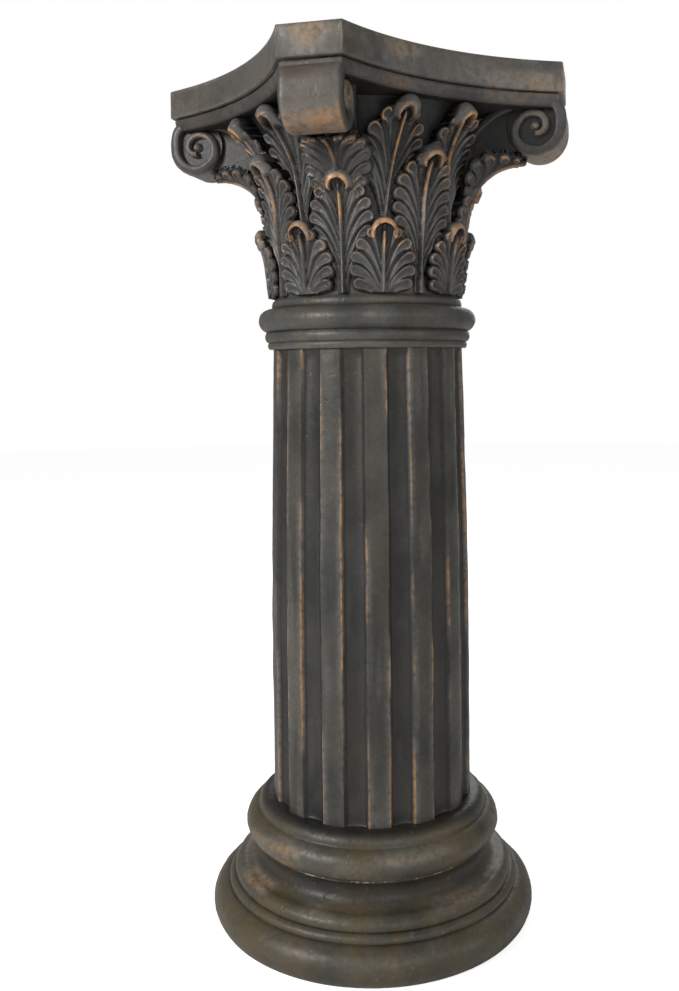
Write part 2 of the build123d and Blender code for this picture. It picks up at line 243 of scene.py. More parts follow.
def mark_relief(piece: bpy.types.Object, soften: int, bend_shade: float) -> None:
    """Write the rub and hollow marks: how far each place stands proud or lies deep. Proud places are rubbed copper
    with a painted highlight; deep places take painted shade.

    Args:
        piece: Object with its final shape, its gild marks of rubbed copper and painted highlight, and its deep marks
            of painted shade.
        soften: Rounds of averaging.
        bend_shade: How much painted shade the bend of the surface alone lays into a hollow.
    """
    mesh = piece.data
    places = places_of(piece)
    normals = normals_of(piece)
    edges = np.empty(len(mesh.edges) * 2, dtype=int)
    mesh.edges.foreach_get("vertices", edges)
    edges = edges.reshape(-1, 2)
    run = places[edges[:, 1]] - places[edges[:, 0]]
    length = np.linalg.norm(run, axis=1) + 1e-6
    bend = np.zeros(len(places))
    count = np.bincount(edges.ravel(), minlength=len(places)) + 1e-6
    for end, way in ((0, -1.0), (1, 1.0)):
        np.add.at(bend, edges[:, end], way * (run * normals[edges[:, end]]).sum(1) / length ** 2)
    bend = spread(np.clip(2.0 * bend / count, -1.5, 1.5), edges, soften)
    wide = spread(bend, edges, soften + 6)
    # From the bend: proud places get rubbed copper and a painted highlight, concave places painted shade.
    rub = smooth_step(bend * 0.6 + wide * 0.8, 0.02, 0.42)
    hollow = bend_shade * smooth_step(-(bend * 0.5 + wide), 0.01, 0.3)
    set_marks(
        piece,
        rub=np.maximum(rub * 0.7, marks_of(piece, "gild")),
        hollow=np.maximum(hollow, marks_of(piece, "deep")),
    )


def age(
    piece: bpy.types.Object, noise: SolidNoise, broad: float, fine: float, soften: int, bend_shade: float = 1.0
) -> bpy.types.Object:
    """Push a mesh in and out a little, as a hand-finished mould leaves it, and mark its relief.

    Args:
        piece: Object to change.
        noise: Noise to follow.
        broad: Depth in millimetres of the slow waves.
        fine: Depth in millimetres of the small ones.
        soften: Rounds of averaging of the relief.
        bend_shade: How much painted shade the bend of the surface alone lays into a hollow.

    Returns:
        The same object, kept inside the box of the CAD part.
    """
    places = places_of(piece)
    push = broad * noise.at(places, WAVE_CELLS[0]) + fine * noise.at(places + 500.0, WAVE_CELLS[1])
    push += 0.5 * fine * noise.at(places + 900.0, WAVE_CELLS[2])
    keep = smooth_step(places[:, 2], 0.0, 6.0) * smooth_step(TOP - places[:, 2], 0.0, 4.0)
    places = places + normals_of(piece) * (push * keep)[:, None]
    set_places(piece, np.clip(places, (-HALF_SIDE, -HALF_SIDE, 0.0), (HALF_SIDE, HALF_SIDE, TOP)))
    mark_relief(piece, soften, bend_shade)
    return piece


def arc_points(start: tuple, middle: tuple, end: tuple, count: int) -> list[tuple]:
    """Points of the arc through three points.

    Args:
        start: First point.
        middle: A point on the way.
        end: Last point.
        count: Number of steps.

    Returns:
        count + 1 points.
    """
    (ax, ay), (bx, by), (cx, cy) = start, middle, end
    twice = 2 * (ax * (by - cy) + bx * (cy - ay) + cx * (ay - by))
    a2, b2, c2 = ax * ax + ay * ay, bx * bx + by * by, cx * cx + cy * cy
    ox = (a2 * (by - cy) + b2 * (cy - ay) + c2 * (ay - by)) / twice
    oy = (a2 * (cx - bx) + b2 * (ax - cx) + c2 * (bx - ax)) / twice
    radius = math.hypot(ax - ox, ay - oy)
    first = math.atan2(ay - oy, ax - ox)
    half = (math.atan2(by - oy, bx - ox) - first + math.pi) % (2 * math.pi) - math.pi
    rest = (math.atan2(cy - oy, cx - ox) - first - half + math.pi) % (2 * math.pi) - math.pi
    angles = [first + (half + rest) * i / count for i in range(count + 1)]
    return [(ox + radius * math.cos(angle), oy + radius * math.sin(angle)) for angle in angles]


def arc_line(*arcs: tuple) -> list[tuple]:
    """Points of several arcs in turn, each given as start, middle, end and count."""
    return [point for arc in arcs for point in arc_points(*arc)]


def even_line(points: list[tuple], step: float) -> list[tuple]:
    """Add points to a line so that none is further than step from the next."""
    line = [points[0]]
    for here, there in zip(points, points[1:]):
        count = max(1, math.ceil(math.dist(here, there) / step))
        line += [tuple(a + (b - a) * i / count for a, b in zip(here, there)) for i in range(1, count + 1)]
    return line


def ring_faces(rings: int, count: int, capped: bool) -> list[tuple]:
    """Faces between closed rings of vertices that follow each other.

    Args:
        rings: Number of rings.
        count: Vertices in each ring.
        capped: Close the first and last ring by one face each, instead of joining them.

    Returns:
        Lists of vertex numbers.
    """
    faces = []
    for j in range(rings - 1 if capped else rings):
        here, there = j * count, (j + 1) % rings * count
        faces += [(here + i, here + (i + 1) % count, there + (i + 1) % count, there + i) for i in range(count)]
    if capped:
        faces += [tuple(range(count))[::-1], tuple(range((rings - 1) * count, rings * count))]
    return faces


def spin_profile(name: str, profile: list[tuple], segments: int) -> bpy.types.Object:
    """Turn a closed profile of radius and height about the axis.

    Args:
        name: Name of the piece.
        profile: Radius and height of each point, in millimetres.
        segments: Steps round the axis.

    Returns:
        The turned piece.
    """
    mesh = bpy.data.meshes.new(name)
    count = len(profile)
    places = [(radius * MM, 0.0, height * MM) for radius, height in profile]
    mesh.from_pydata(places, [(i, (i + 1) % count) for i in range(count)], [])
    piece = link_object(name, mesh)
    with editing(piece):
        bpy.ops.mesh.spin(steps=segments, angle=2 * math.pi, center=(0, 0, 0), axis=(0, 0, 1))
    tidy_mesh(piece)
    return piece


@dataclass(frozen=True)
class Heights:
    """Heights of the courses above the floor, in millimetres."""

    foot_top: float = 33.0
    seam: float = 40.5
    bead_top: float = 52.0
    hollow_top: float = 76.5
    small_course_top: float = 106.0
    shaft_foot: float = 117.0
    shaft_top: float = 577.0
    lower_ring_top: float = 584.0
    upper_ring_top: float = 594.0
    round_ring_top: float = 618.0
    bell_foot: float = 629.0
    bell_top: float = 808.0
    moulding_top: float = 820.0
    slab_foot: float = 821.7
    top: float = TOP


@dataclass(frozen=True)
class Crest:
    """Height at which a turned course is rubbed most, with copper and a painted highlight."""

    height: float
    half_width: float
    strength: float = 1.0

    def at(self, height: np.ndarray) -> np.ndarray:
        """Strength of the rub at some heights."""
        return self.strength * hump(height, self.height, self.half_width)


@dataclass
class Foot:
    """Turned foot: rounded courses, two beads and a hollow between them."""

    heights: Heights = Heights()
    radius: float = HALF_SIDE
    sole_inset: float = 5.6
    sole_width: float = 11.0
    top_radius: float = 149.0
    seam_radius: float = 142.5
    lip_radius: float = 135.0
    waist_radius: float = 117.0
    hollow_top_radius: float = 121.0
    small_radius: float = 130.6
    small_top_radius: float = 119.0
    toe_radius: float = 116.6
    seam_middle: tuple = (148.6, 36.8)
    bead_middle: tuple = (142.4, 46.5)
    shaft_radius: float = 102.4
    cavity_top: float = 88.0
    sole_thickness: float = 12.0
    segments: int = 360
    crests: tuple = (Crest(52.0, 3.0), Crest(82.0, 5.0), Crest(97.0, 8.0, 0.8), Crest(26.0, 9.0, 0.25))

    def profile(self) -> list[tuple]:
        """Closed outline of the foot's wall."""
        h = self.heights
        sole = self.radius - self.sole_inset
        line = [(sole, 0.0)] + arc_line(
            ((sole + 1.6, 1.2), (self.radius, h.foot_top * 0.52), (self.top_radius, h.foot_top), 26),
            ((self.top_radius + 0.3, h.foot_top + 0.8), self.seam_middle, (self.seam_radius, h.seam), 8),
            ((self.seam_radius + 0.6, h.seam + 0.7), self.bead_middle, (self.lip_radius, h.bead_top), 12),
            ((self.lip_radius - 1.0, h.bead_top + 0.2), (self.waist_radius, h.bead_top + 13.5),
             (self.hollow_top_radius, h.hollow_top - 0.8), 20),
            ((self.hollow_top_radius - 0.5, h.hollow_top + 0.2), (self.small_radius, h.hollow_top + 16.2),
             (self.small_top_radius, h.small_course_top), 24),
            ((self.small_top_radius - 0.9, h.small_course_top + 0.8),
             (self.toe_radius, h.small_course_top + 6.0),
             (self.shaft_radius + 5.5, h.shaft_foot + 1.0), 10),
        )
        line += [(radius, h.shaft_foot + 1.8) for radius in (self.shaft_radius - 7.0, CAVITY_RADIUS)]
        line += [(CAVITY_RADIUS, self.cavity_top)]
        line += [(sole - self.sole_width, height) for height in (self.sole_thickness, 0.0)]
        return even_line(line, 2.0)

    def build(self, noise: SolidNoise) -> bpy.types.Object:
        """Turn the foot and age its surface."""
        h = self.heights
        piece = spin_profile("foot", self.profile(), self.segments)
        places = places_of(piece)
        height = places[:, 2]
        hollow = smooth_step(height, h.bead_top, 59.0) * (1.0 - smooth_step(height, 73.0, 77.5))
        toe = smooth_step(height, h.small_course_top + 5.0, h.shaft_foot + 1.0)
        seen_side = places[:, 0] + places[:, 1] < 60.0
        broken = smooth_step(noise.at(places + 210.0, 9.0), -0.05, 0.35)
        flaked = hump(height, h.hollow_top, 0.75) * seen_side * broken
        ground = (1.0 - smooth_step(height, 1.0, 2.6)) * smooth_step(noise.at(places + 90.0, 14.0), 0.05, 0.4)
        smear = smooth_step(noise.at(places * (1.0, 1.0, 2.4), 42.0), -0.35, 0.6)
        set_marks(
            piece,
            # Painted shade in the hollow course and at the toe where the shaft meets the foot.
            deep=np.maximum(0.62 * hollow, 0.85 * toe),
            chip=np.maximum(flaked, ground),
            # Rubbed copper and a painted highlight on the crests.
            gild=np.clip(sum(crest.at(height) for crest in self.crests) * smear, 0.0, 1.0),
        )
        return age(piece, noise, broad=0.35, fine=0.22, soften=3)


@dataclass
class Shaft:
    """Shaft with hollow flutes between flat ridges. Angles are in degrees."""

    heights: Heights = Heights()
    flutes: int = 14
    foot_radius: float = 102.4
    top_radius: float = 97.7
    straight_share: float = 0.4
    taper_power: float = 1.35
    swell: float = 0.25
    flute_depth: float = 5.6
    ridge_half_angle: float = 6.2
    ridge_lift: float = 0.35
    first_ridge: float = -117.4
    wander: float = 0.35
    around: int = 560
    along: int = 150

    def build(self, noise: SolidNoise) -> bpy.types.Object:
        """Shape the shaft from a tall grid wrapped round the axis."""
        h = self.heights
        low, high = h.shaft_foot - 1.0, h.shaft_top + 1.0
        angle = np.linspace(0.0, 360.0, self.around, endpoint=False)
        turn, rise = np.meshgrid(angle, np.linspace(0.0, 1.0, self.along))
        height = low + (high - low) * rise
        rad = np.radians(turn)
        taper = np.clip((rise - self.straight_share) / (1.0 - self.straight_share), 0.0, 1.0)
        radius = self.foot_radius + (self.top_radius - self.foot_radius) * taper ** self.taper_power
        radius += self.swell * np.sin(math.pi * rise)
        pitch = 360.0 / self.flutes
        spots = np.stack([np.cos(rad) * 60.0, np.sin(rad) * 60.0, height * 0.7], -1).reshape(-1, 3)
        wobble = self.wander * noise.at(spots, 23.0).reshape(turn.shape)
        local = (turn + wobble - self.first_ridge + pitch / 2) % pitch - pitch / 2
        inside = (np.abs(local) - self.ridge_half_angle) / (pitch / 2 - self.ridge_half_angle)
        bowl = np.sqrt(np.clip(1.0 - (1.0 - np.clip(inside, 0.0, 1.0)) ** 2, 0.0, 1.0))
        end_fade = smooth_step(high - height, 1.5, 8.0) * smooth_step(height - low, 0.0, 4.0)
        ends = np.where(inside < 1.0, end_fade, 1.0)
        depth = self.flute_depth * np.where(inside > 0, bowl ** 0.9, 0.0) * (0.35 + 0.65 * ends)
        lift = self.ridge_lift * np.cos(np.clip(np.abs(local) / self.ridge_half_angle, 0, 1) * math.pi / 2)
        radius = radius - depth + np.where(inside <= 0, lift, 0.0)
        outer = np.stack([radius * np.cos(rad), radius * np.sin(rad), height], -1).reshape(-1, 3)
        bore = CAVITY_RADIUS * np.stack([np.cos(rad[0]), np.sin(rad[0])], -1)
        rings = [np.column_stack([bore, np.full(self.around, level)]) for level in (low, high)]
        piece = make_mesh(
            "shaft", np.vstack([rings[0], outer, rings[1]]), ring_faces(self.along + 2, self.around, capped=False)
        )
        self.mark(piece, noise, outer, local.ravel(), inside.ravel() > 0)
        tidy_mesh(piece)
        return age(piece, noise, broad=0.35, fine=0.16, soften=2)

    def mark(
        self, piece: bpy.types.Object, noise: SolidNoise, outer: np.ndarray, local: np.ndarray, fluted: np.ndarray
    ) -> None:
        """Rub the arrises copper, with a painted highlight, and paint shade into the flutes, beside the ridges and
        at the flutes' tops.

        Args:
            piece: The shaft.
            noise: Noise to follow.
            outer: Places on the outside.
            local: Degrees from the nearest ridge's middle, for each place.
            fluted: Whether each place lies in a flute.
        """
        top = self.heights.shaft_top + 1.0
        spots = outer * (1.0, 1.0, 0.16)
        streak = smooth_step(noise.at(spots, 19.0) + 0.4 * noise.at(spots + 77.0, 6.0), -0.45, 0.35)
        past = np.abs(local) - self.ridge_half_angle
        arris = (hump(past, 0.0, 0.6) + 0.42 * hump(past, -1.0, 1.9)) * streak
        face = 0.22 * smooth_step(noise.at(spots + 300.0, 11.0), 0.35, 0.8)
        # Patchy strength of the painted shade in the flutes.
        shade_variation = 0.5 + 0.5 * smooth_step(noise.at(spots + 640.0, 15.0), -0.5, 0.5)
        # Painted shade: a dark line beside each ridge's edge, darker flute tops under the ring, and darker bowls.
        groove = (0.7 + 0.3 * shade_variation) * hump(past, 1.3, 0.85)
        flute_end_shade = 0.6 * smooth_step(outer[:, 2], top - 7.0, top - 1.0) * fluted
        flute_shade = 0.6 * fluted * (0.55 + 0.45 * shade_variation)
        gild = np.clip(np.maximum(arris, face), 0.0, 1.0)
        deep = np.maximum(np.maximum(groove, flute_end_shade), flute_shade)
        set_marks(piece, gild=np.pad(gild, self.around), deep=np.pad(deep, self.around))


@dataclass
class Neck:
    """Rings over the shaft and the bell that the leaves stand on."""

    heights: Heights = Heights()
    lower_ring_radius: float = 102.6
    upper_ring_radius: float = 105.2
    round_ring_radius: float = 112.3
    collar_radius: float = 97.5
    bell_foot_radius: float = 94.0
    bell_waist_radius: float = 97.0
    bell_waist_height: float = 100.0
    bell_lip_radius: float = 122.0
    bell_steps: int = 24
    segments: int = 320
    crests: tuple = (Crest(609.0, 7.0), Crest(590.0, 3.0, 0.6))

    def bell_radius(self, height: np.ndarray) -> np.ndarray:
        """Radius of the bell at heights above its foot."""
        height = np.asarray(height, dtype=float)
        low = self.bell_foot_radius + (self.bell_waist_radius - self.bell_foot_radius) * (
            np.clip(height, 0.0, self.bell_waist_height) / self.bell_waist_height
        )
        flare = self.bell_lip_radius - self.bell_waist_radius
        rise = self.heights.bell_top - self.heights.bell_foot - self.bell_waist_height
        sweep = (flare ** 2 + rise ** 2) / (2 * flare)
        over = np.clip(height - self.bell_waist_height, 0.0, rise)
        high = self.bell_waist_radius + sweep - np.sqrt(sweep ** 2 - over ** 2)
        return np.where(height <= self.bell_waist_height, low, high)

    def profile(self) -> list[tuple]:
        """Closed outline of the rings and the bell."""
        h = self.heights
        lower, upper, collar = self.lower_ring_radius, self.upper_ring_radius, self.collar_radius
        line = [(CAVITY_RADIUS, h.shaft_top - 0.5), (lower - 0.8, h.shaft_top)] + arc_line(
            ((lower - 0.8, h.shaft_top), (lower + 0.6, h.shaft_top + 3.4), (lower - 0.4, h.lower_ring_top - 0.5), 6),
            ((upper - 1.0, h.lower_ring_top + 0.4), (upper + 0.8, h.lower_ring_top + 5.0),
             (upper - 0.6, h.upper_ring_top - 0.4), 8),
            ((upper - 0.8, h.upper_ring_top + 0.5), (self.round_ring_radius, h.upper_ring_top + 11.6),
             (collar + 3.5, h.round_ring_top - 0.3), 20),
            ((collar + 0.4, h.round_ring_top + 0.4), (collar + 0.9, h.round_ring_top + 4.0),
             (collar - 0.2, h.round_ring_top + 7.6), 5),
        )
        line += [(self.bell_foot_radius + 1.5, h.round_ring_top + 8.8)]
        for rise in np.linspace(0.0, h.bell_top - h.bell_foot, self.bell_steps + 1).tolist():
            line.append((float(self.bell_radius(rise)), h.bell_foot + rise))
        line += [(self.bell_lip_radius, h.slab_foot), (CAVITY_RADIUS, h.slab_foot)]
        return even_line(line, 2.2)

    def build(self, noise: SolidNoise) -> bpy.types.Object:
        """Turn the rings and the bell."""
        piece = spin_profile("neck_and_bell", self.profile(), self.segments)
        places = places_of(piece)
        height = places[:, 2]
        smear = smooth_step(noise.at(places * (1.0, 1.0, 2.0) + 33.0, 24.0), 0.25, 0.85)
        rubbed = sum(crest.at(height) for crest in self.crests)
        # Painted shade on the bell, which shows behind and between the leaves; rubbed copper and a painted highlight
        # on the ring crests.
        set_marks(
            piece, deep=0.9 * smooth_step(height, 632.0, 642.0), gild=np.clip(0.75 * smear * rubbed, 0.0, 1.0)
        )
        return age(piece, noise, broad=0.35, fine=0.2, soften=2)


@dataclass
class Slab:
    """Top slab with hollow sides and cut corners, and the moulding under it."""

    heights: Heights = Heights()
    side: float = 2 * HALF_SIDE
    corner_cut: float = 42.0
    side_hollow: float = 24.0
    step: float = 2.4
    deepest_inset: float = 60.0

    def outline(self, inset: float) -> list[tuple]:
        """Plan of the slab drawn in by inset, with as many points at any inset."""
        half = self.side / 2 - inset
        run = half - self.corner_cut + inset * (2 - math.sqrt(2))
        cut_count = round(self.corner_cut * math.sqrt(2) / self.step)
        points = []
        for quarter in range(4):
            corners = arc_points((half, -run), (half - self.side_hollow, 0.0), (half, run), self.side_count())
            corners += [
                (half + (run - half) * i / cut_count, run + (half - run) * i / cut_count)
                for i in range(1, cut_count)
            ]
            for x, y in corners:
                for _ in range(quarter):
                    x, y = -y, x
                points.append((x, y))
        return points

    def side_count(self) -> int:
        """Steps along one hollow side."""
        return round(2 * (self.side / 2 - self.corner_cut) / self.step)

    def rings(self) -> list[tuple]:
        """Inset and height of each ring, from the middle of the underside over the top."""
        h = self.heights
        under = [(30.0, h.bell_top + 0.4), (16.0, h.bell_top), (9.0, h.bell_top), (7.6, h.bell_top + 0.7)]
        under += [(5.6, h.bell_top + 3.5), (4.4, h.bell_top + 7.5), (4.0, h.bell_top + 10.6)]
        under += [(4.6, h.moulding_top), (6.6, h.moulding_top + 0.3), (6.6, h.slab_foot - 0.2)]
        wall = [(0.9, h.slab_foot + 0.2), (0.2, h.slab_foot + 1.0)]
        wall += [(0.0, h.slab_foot + 2.2 + i * 2.2) for i in range(11)]
        wall += [(0.15, h.top - 1.8), (0.7, h.top - 0.6), (1.7, h.top - 0.05), (2.8, h.top)]
        return under + wall + [(4.0 + i * 3.4, h.top) for i in range(1, 40)]

    def build(self, noise: SolidNoise) -> bpy.types.Object:
        """Skin the slab over its rings."""
        h = self.heights
        rings = self.rings()
        vertices = []
        for inset, height in rings:
            past = max(0.0, inset - self.deepest_inset)
            scale = max(0.02, 1.0 - past / (self.side / 2 - self.deepest_inset))
            vertices += [(x * scale, y * scale, height) for x, y in self.outline(inset - past)]
        vertices = np.array(vertices)
        plan = np.array(self.outline(0.0))
        piece = make_mesh("slab", vertices, ring_faces(len(rings), len(plan), capped=True))
        height = vertices[:, 2]
        corners = plan.reshape(4, -1, 2)[:, (0, self.side_count())].reshape(-1, 2)
        near = np.min(np.linalg.norm(vertices[:, None, :2] - corners, axis=2), axis=1)
        arris = hump(near, 0.0, 1.5) + hump(height, h.top - 1.0, 1.3) + 0.6 * hump(height, h.slab_foot + 1.0, 1.1)
        broken = smooth_step(noise.at(vertices + 15.0, 8.0), -0.45, 0.35)
        smudge = smooth_step(noise.at(vertices, 34.0) + 0.5 * noise.at(vertices + 60.0, 9.0), 0.3, 0.95)
        # Copper haze on the -y face, which also lifts that face as painted light.
        copper_haze_and_light = smooth_step(noise.at(vertices * (1.0, 1.0, 2.5) + 130.0, 40.0), -0.6, 0.4)
        copper_haze_and_light *= smooth_step(-vertices[:, 1], 60.0, 130.0)
        gild = np.maximum(np.maximum(0.5 * smudge, 0.85 * copper_haze_and_light), 0.85 * np.clip(arris, 0.0, 1.0) * broken)
        # Painted shade on the moulding under the slab, darkest on its underside.
        low = 1.0 - smooth_step(height, 819.6, 820.4)
        underside = 1.0 - smooth_step(height, 808.2, 809.2)
        set_marks(piece, gild=gild, deep=low * (0.42 + 0.5 * underside))
        tidy_mesh(piece)
        return age(piece, noise, broad=0.5, fine=0.16, soften=1)


@dataclass
class Leaf:
    """One carved leaf: fingers with raised rims along a rib, ending in a hooded tip.

    Heights are above the foot of the bell, in millimetres. Ends and widths give the height and half width
    that each finger's tip reaches. The leaf stands off the bell by stand, and its tip swings out to reach over
    the last stretch, swing. A leaf with a line follows those points, radius and height, and not the bell.
    """

    tip: float
    reach: float
    ends: tuple
    widths: tuple
    foot: float = 0.0
    stand: float = 8.0
    stand_start: float = 0.0
    finger_radius: float = 6.6
    finger_rise: float = 34.0
    outer_side: float = 1.0
    web: float = 0.7
    cup: float = 0.0
    stem: float = 5.0
    hood_half_width: float = 14.0
    hood_height: float = 17.0
    hood_bulge: float = 9.0
    lip_sag: float = 2.6
    hood_band: float = 8.0
    # Painted shade on the walls that run back into the bell.
    wall_shade: float = 0.9
    swing: float = 30.0
    lean: float = 0.0
    grid: float = 0.85
    relief: float = 4.4
    line: tuple = ()
    thickness: float = 7.0
    sunk: float = 2.5
    wrap_radius: float = 104.0
    wrap_share: float = 0.55

    def fingers(self) -> list[tuple]:
        """Centre line and radii of each finger."""
        found = []
        pitch = (self.ends[-1] - self.ends[0]) / (len(self.ends) - 1)
        for side in (1, -1):
            for end, width in zip(self.ends, self.widths):
                wide = width * (self.outer_side if side < 0 else 1.0)
                rise = min(self.finger_rise, end - self.foot + 5.0)
                start = np.array((side * 1.6, end - rise))
                bend = np.array((side * (1.6 + 0.34 * wide), end - 0.1 * rise))
                tip = np.array((side * (wide - self.finger_radius), end))
                t = np.linspace(0.0, 1.0, 30)[:, None]
                centre = (1 - t) ** 2 * start + 2 * t * (1 - t) * bend + t ** 2 * tip
                flow = 2 * (1 - t) * (bend - start) + 2 * t * (tip - bend)
                level = np.abs(flow[:, 0]) / np.linalg.norm(flow, axis=1)
                radii = np.clip(0.49 * pitch * level, 1.2, self.finger_radius)
                radii *= 0.78 + 0.22 * np.linspace(0.0, 1.0, 30)
                found.append((centre, radii))
        return found

    def lean_at(self, v: np.ndarray) -> np.ndarray:
        """Sideways shift of the rib at a height."""
        share = np.clip((v - self.foot) / (self.tip - self.foot), 0.0, 1.2)
        return self.lean * share ** 1.6

    def finger_field(self, u: np.ndarray, v: np.ndarray) -> tuple:
        """Shape of the fingers alone.

        Args:
            u: Places across the leaf, measured from its rib.
            v: Heights.

        Returns:
            Height of the relief, distance outside the fingers, rub of copper and painted highlight, and painted
            shade between the fingers.
        """
        relief, rub, dark = np.zeros_like(u), np.zeros_like(u), np.zeros_like(u)
        outside, nearest = np.full_like(u, 1e9), np.full_like(u, 9.0)
        high = 0.55 + 0.45 * smooth_step(v, self.tip - 50.0, self.tip - 14.0)
        for centre, radii in self.fingers():
            distance = np.hypot(u - centre[:, :1], v - centre[:, 1:])
            outside = np.minimum(outside, (distance - radii[:, None]).min(axis=0))
            ratios = distance / radii[:, None]
            number = ratios.argmin(axis=0)
            ratio, size, along = ratios.min(axis=0), radii[number], number / (len(radii) - 1)
            dish = 0.62 * smooth_step(size, 2.2, 4.2) * (1.0 - np.clip(ratio / 0.74, 0.0, 1.0) ** 2.4)
            round_off = 1.0 - np.clip(ratio, 0.0, 1.0) ** np.clip(1.2 * size, 1.8, 6.0)
            top = self.relief * (0.3 + 0.85 * along) * (ratio < 1.0)
            relief = np.maximum(relief, top * (round_off - dish))
            rim = smooth_step(ratio, 0.5, 0.74) * (1.0 - smooth_step(ratio, 0.9, 1.0))
            rub = np.maximum(rub, high * rim * smooth_step(along, 0.25, 0.85))
            # Painted shade between the fingers, darker toward their ends.
            dark = np.where(ratio < nearest, 0.4 + 0.6 * along, dark)
            nearest = np.minimum(nearest, ratio)
        return relief, outside, rub, dark * smooth_step(nearest, 0.84, 1.06)

    def shape(self, u: np.ndarray, v: np.ndarray) -> tuple:
        """Fingers, rib and hood together.

        Args:
            u: Places across the leaf, measured from its rib.
            v: Heights.

        Returns:
            Height of the relief, distance outside the outline, rub of copper and painted highlight, the hood's lip
            and painted shade.
        """
        relief, gap, rub, deep = self.finger_field(u, v)
        blade = np.where(u < 0, self.outer_side, 1.0) * np.interp(
            v, (self.ends[0] - 14.0, *self.ends), (0.0, *self.widths), left=0.0, right=0.0
        )
        outside = np.maximum(np.abs(u) - self.stem, v - self.tip + 8.0)
        outside = np.minimum(np.minimum(outside, np.abs(u) - 0.66 * blade), gap - self.web)
        share = np.clip((v - self.foot) / (self.tip - self.foot), 0.0, 1.0)
        middle = self.tip - self.hood_height
        rib_half = 2.5 - 0.8 * share
        rib = self.relief * 1.1 * (1.0 - np.clip(np.abs(u) / rib_half, 0.0, 1.0) ** 2)
        rib = rib * smooth_step(middle + 4.0 - v, 0.0, 5.0)
        deep = deep * (1.0 - smooth_step(rib, 0.3, 1.5))
        relief = np.maximum(relief, rib)
        rub = np.maximum(rub, 0.9 * smooth_step(rib, 1.2, 3.4) * smooth_step(share, 0.25, 0.7))
        lip = np.zeros_like(u)
        if self.hood_bulge > 0:
            flat = (u / self.hood_half_width) ** 2 + ((v - middle) / self.hood_height) ** 2
            inner_width = self.hood_half_width - 0.72 * self.hood_band
            inner = np.hypot(u / inner_width, (v - middle) / (self.hood_height - self.hood_band))
            hood_gap = np.maximum((np.sqrt(flat) - 1.0) * self.hood_half_width, (middle - 5.0) - v)
            outside = np.minimum(outside, hood_gap)
            over = smooth_step(inner, 0.93, 1.07) * (flat < 1.0) * smooth_step(v, middle - 5.5, middle - 3.0)
            cup = np.sqrt(np.clip(1.0 - inner ** 2, 0.0, 1.0)) * smooth_step(v, middle - 9.0, middle)
            dome = self.hood_bulge * np.clip(1.0 - flat, 0.0, 1.0) ** 0.45
            relief = relief * (1.0 - over) + dome * over - 1.4 * cup * (np.abs(u) > rib_half)
            lip = over * (1.0 - smooth_step(inner, 1.0, 1.5))
            rub = np.where(over > 0.3, over * (0.4 + 0.6 * (1.0 - smooth_step(inner, 1.1, 1.6))), rub)
            # Painted shade in the hood's cup under its lip, less on the rib.
            deep = np.maximum(deep * (1.0 - over), 0.85 * cup * (1.0 - 0.6 * smooth_step(rib, 0.5, 2.0)))
        return relief, np.maximum(outside, self.foot - v), rub, lip, deep

    def carrier(self, v: np.ndarray, neck: Neck) -> tuple:
        """Radius and height of the leaf's face, and the way it faces.

        Args:
            v: Heights, or lengths along the line if the leaf has one.
            neck: The bell it stands on.

        Returns:
            Radius, height above the bell's foot, and both parts of the outward direction.
        """
        if self.line:
            line = np.array(self.line)
            for _ in range(3):
                quarter, three = 0.75 * line[:-1] + 0.25 * line[1:], 0.25 * line[:-1] + 0.75 * line[1:]
                line = np.vstack([line[:1], np.stack([quarter, three], 1).reshape(-1, 2), line[-1:]])
            run = np.concatenate([[0.0], np.cumsum(np.linalg.norm(np.diff(line, axis=0), axis=1))])
            flow = np.gradient(line, run, axis=0)
            radius, height = np.interp(v, run, line[:, 0]), np.interp(v, run, line[:, 1])
            past = np.maximum(v - run[-1], 0.0)
            fr, fz = np.interp(v, run, flow[:, 0]), np.interp(v, run, flow[:, 1])
            size = np.hypot(fr, fz)
            return radius + past * fr / size, height + past * fz / size, fz / size, -fr / size
        lip = self.tip - self.hood_height * 0.6
        start = lip - self.swing
        share = np.clip((v - start) / self.swing, 0.0, 1.0)
        near_foot = 0.3 + 0.7 * smooth_step(v, self.stand_start, self.stand_start + 55.0)
        base = neck.bell_radius(np.minimum(v, lip)) + self.stand * near_foot
        drift = self.reach - self.hood_bulge - float(neck.bell_radius(lip)) - self.stand
        radius = base + drift * share ** 1.9
        return radius, v, np.ones_like(v), np.zeros_like(v)

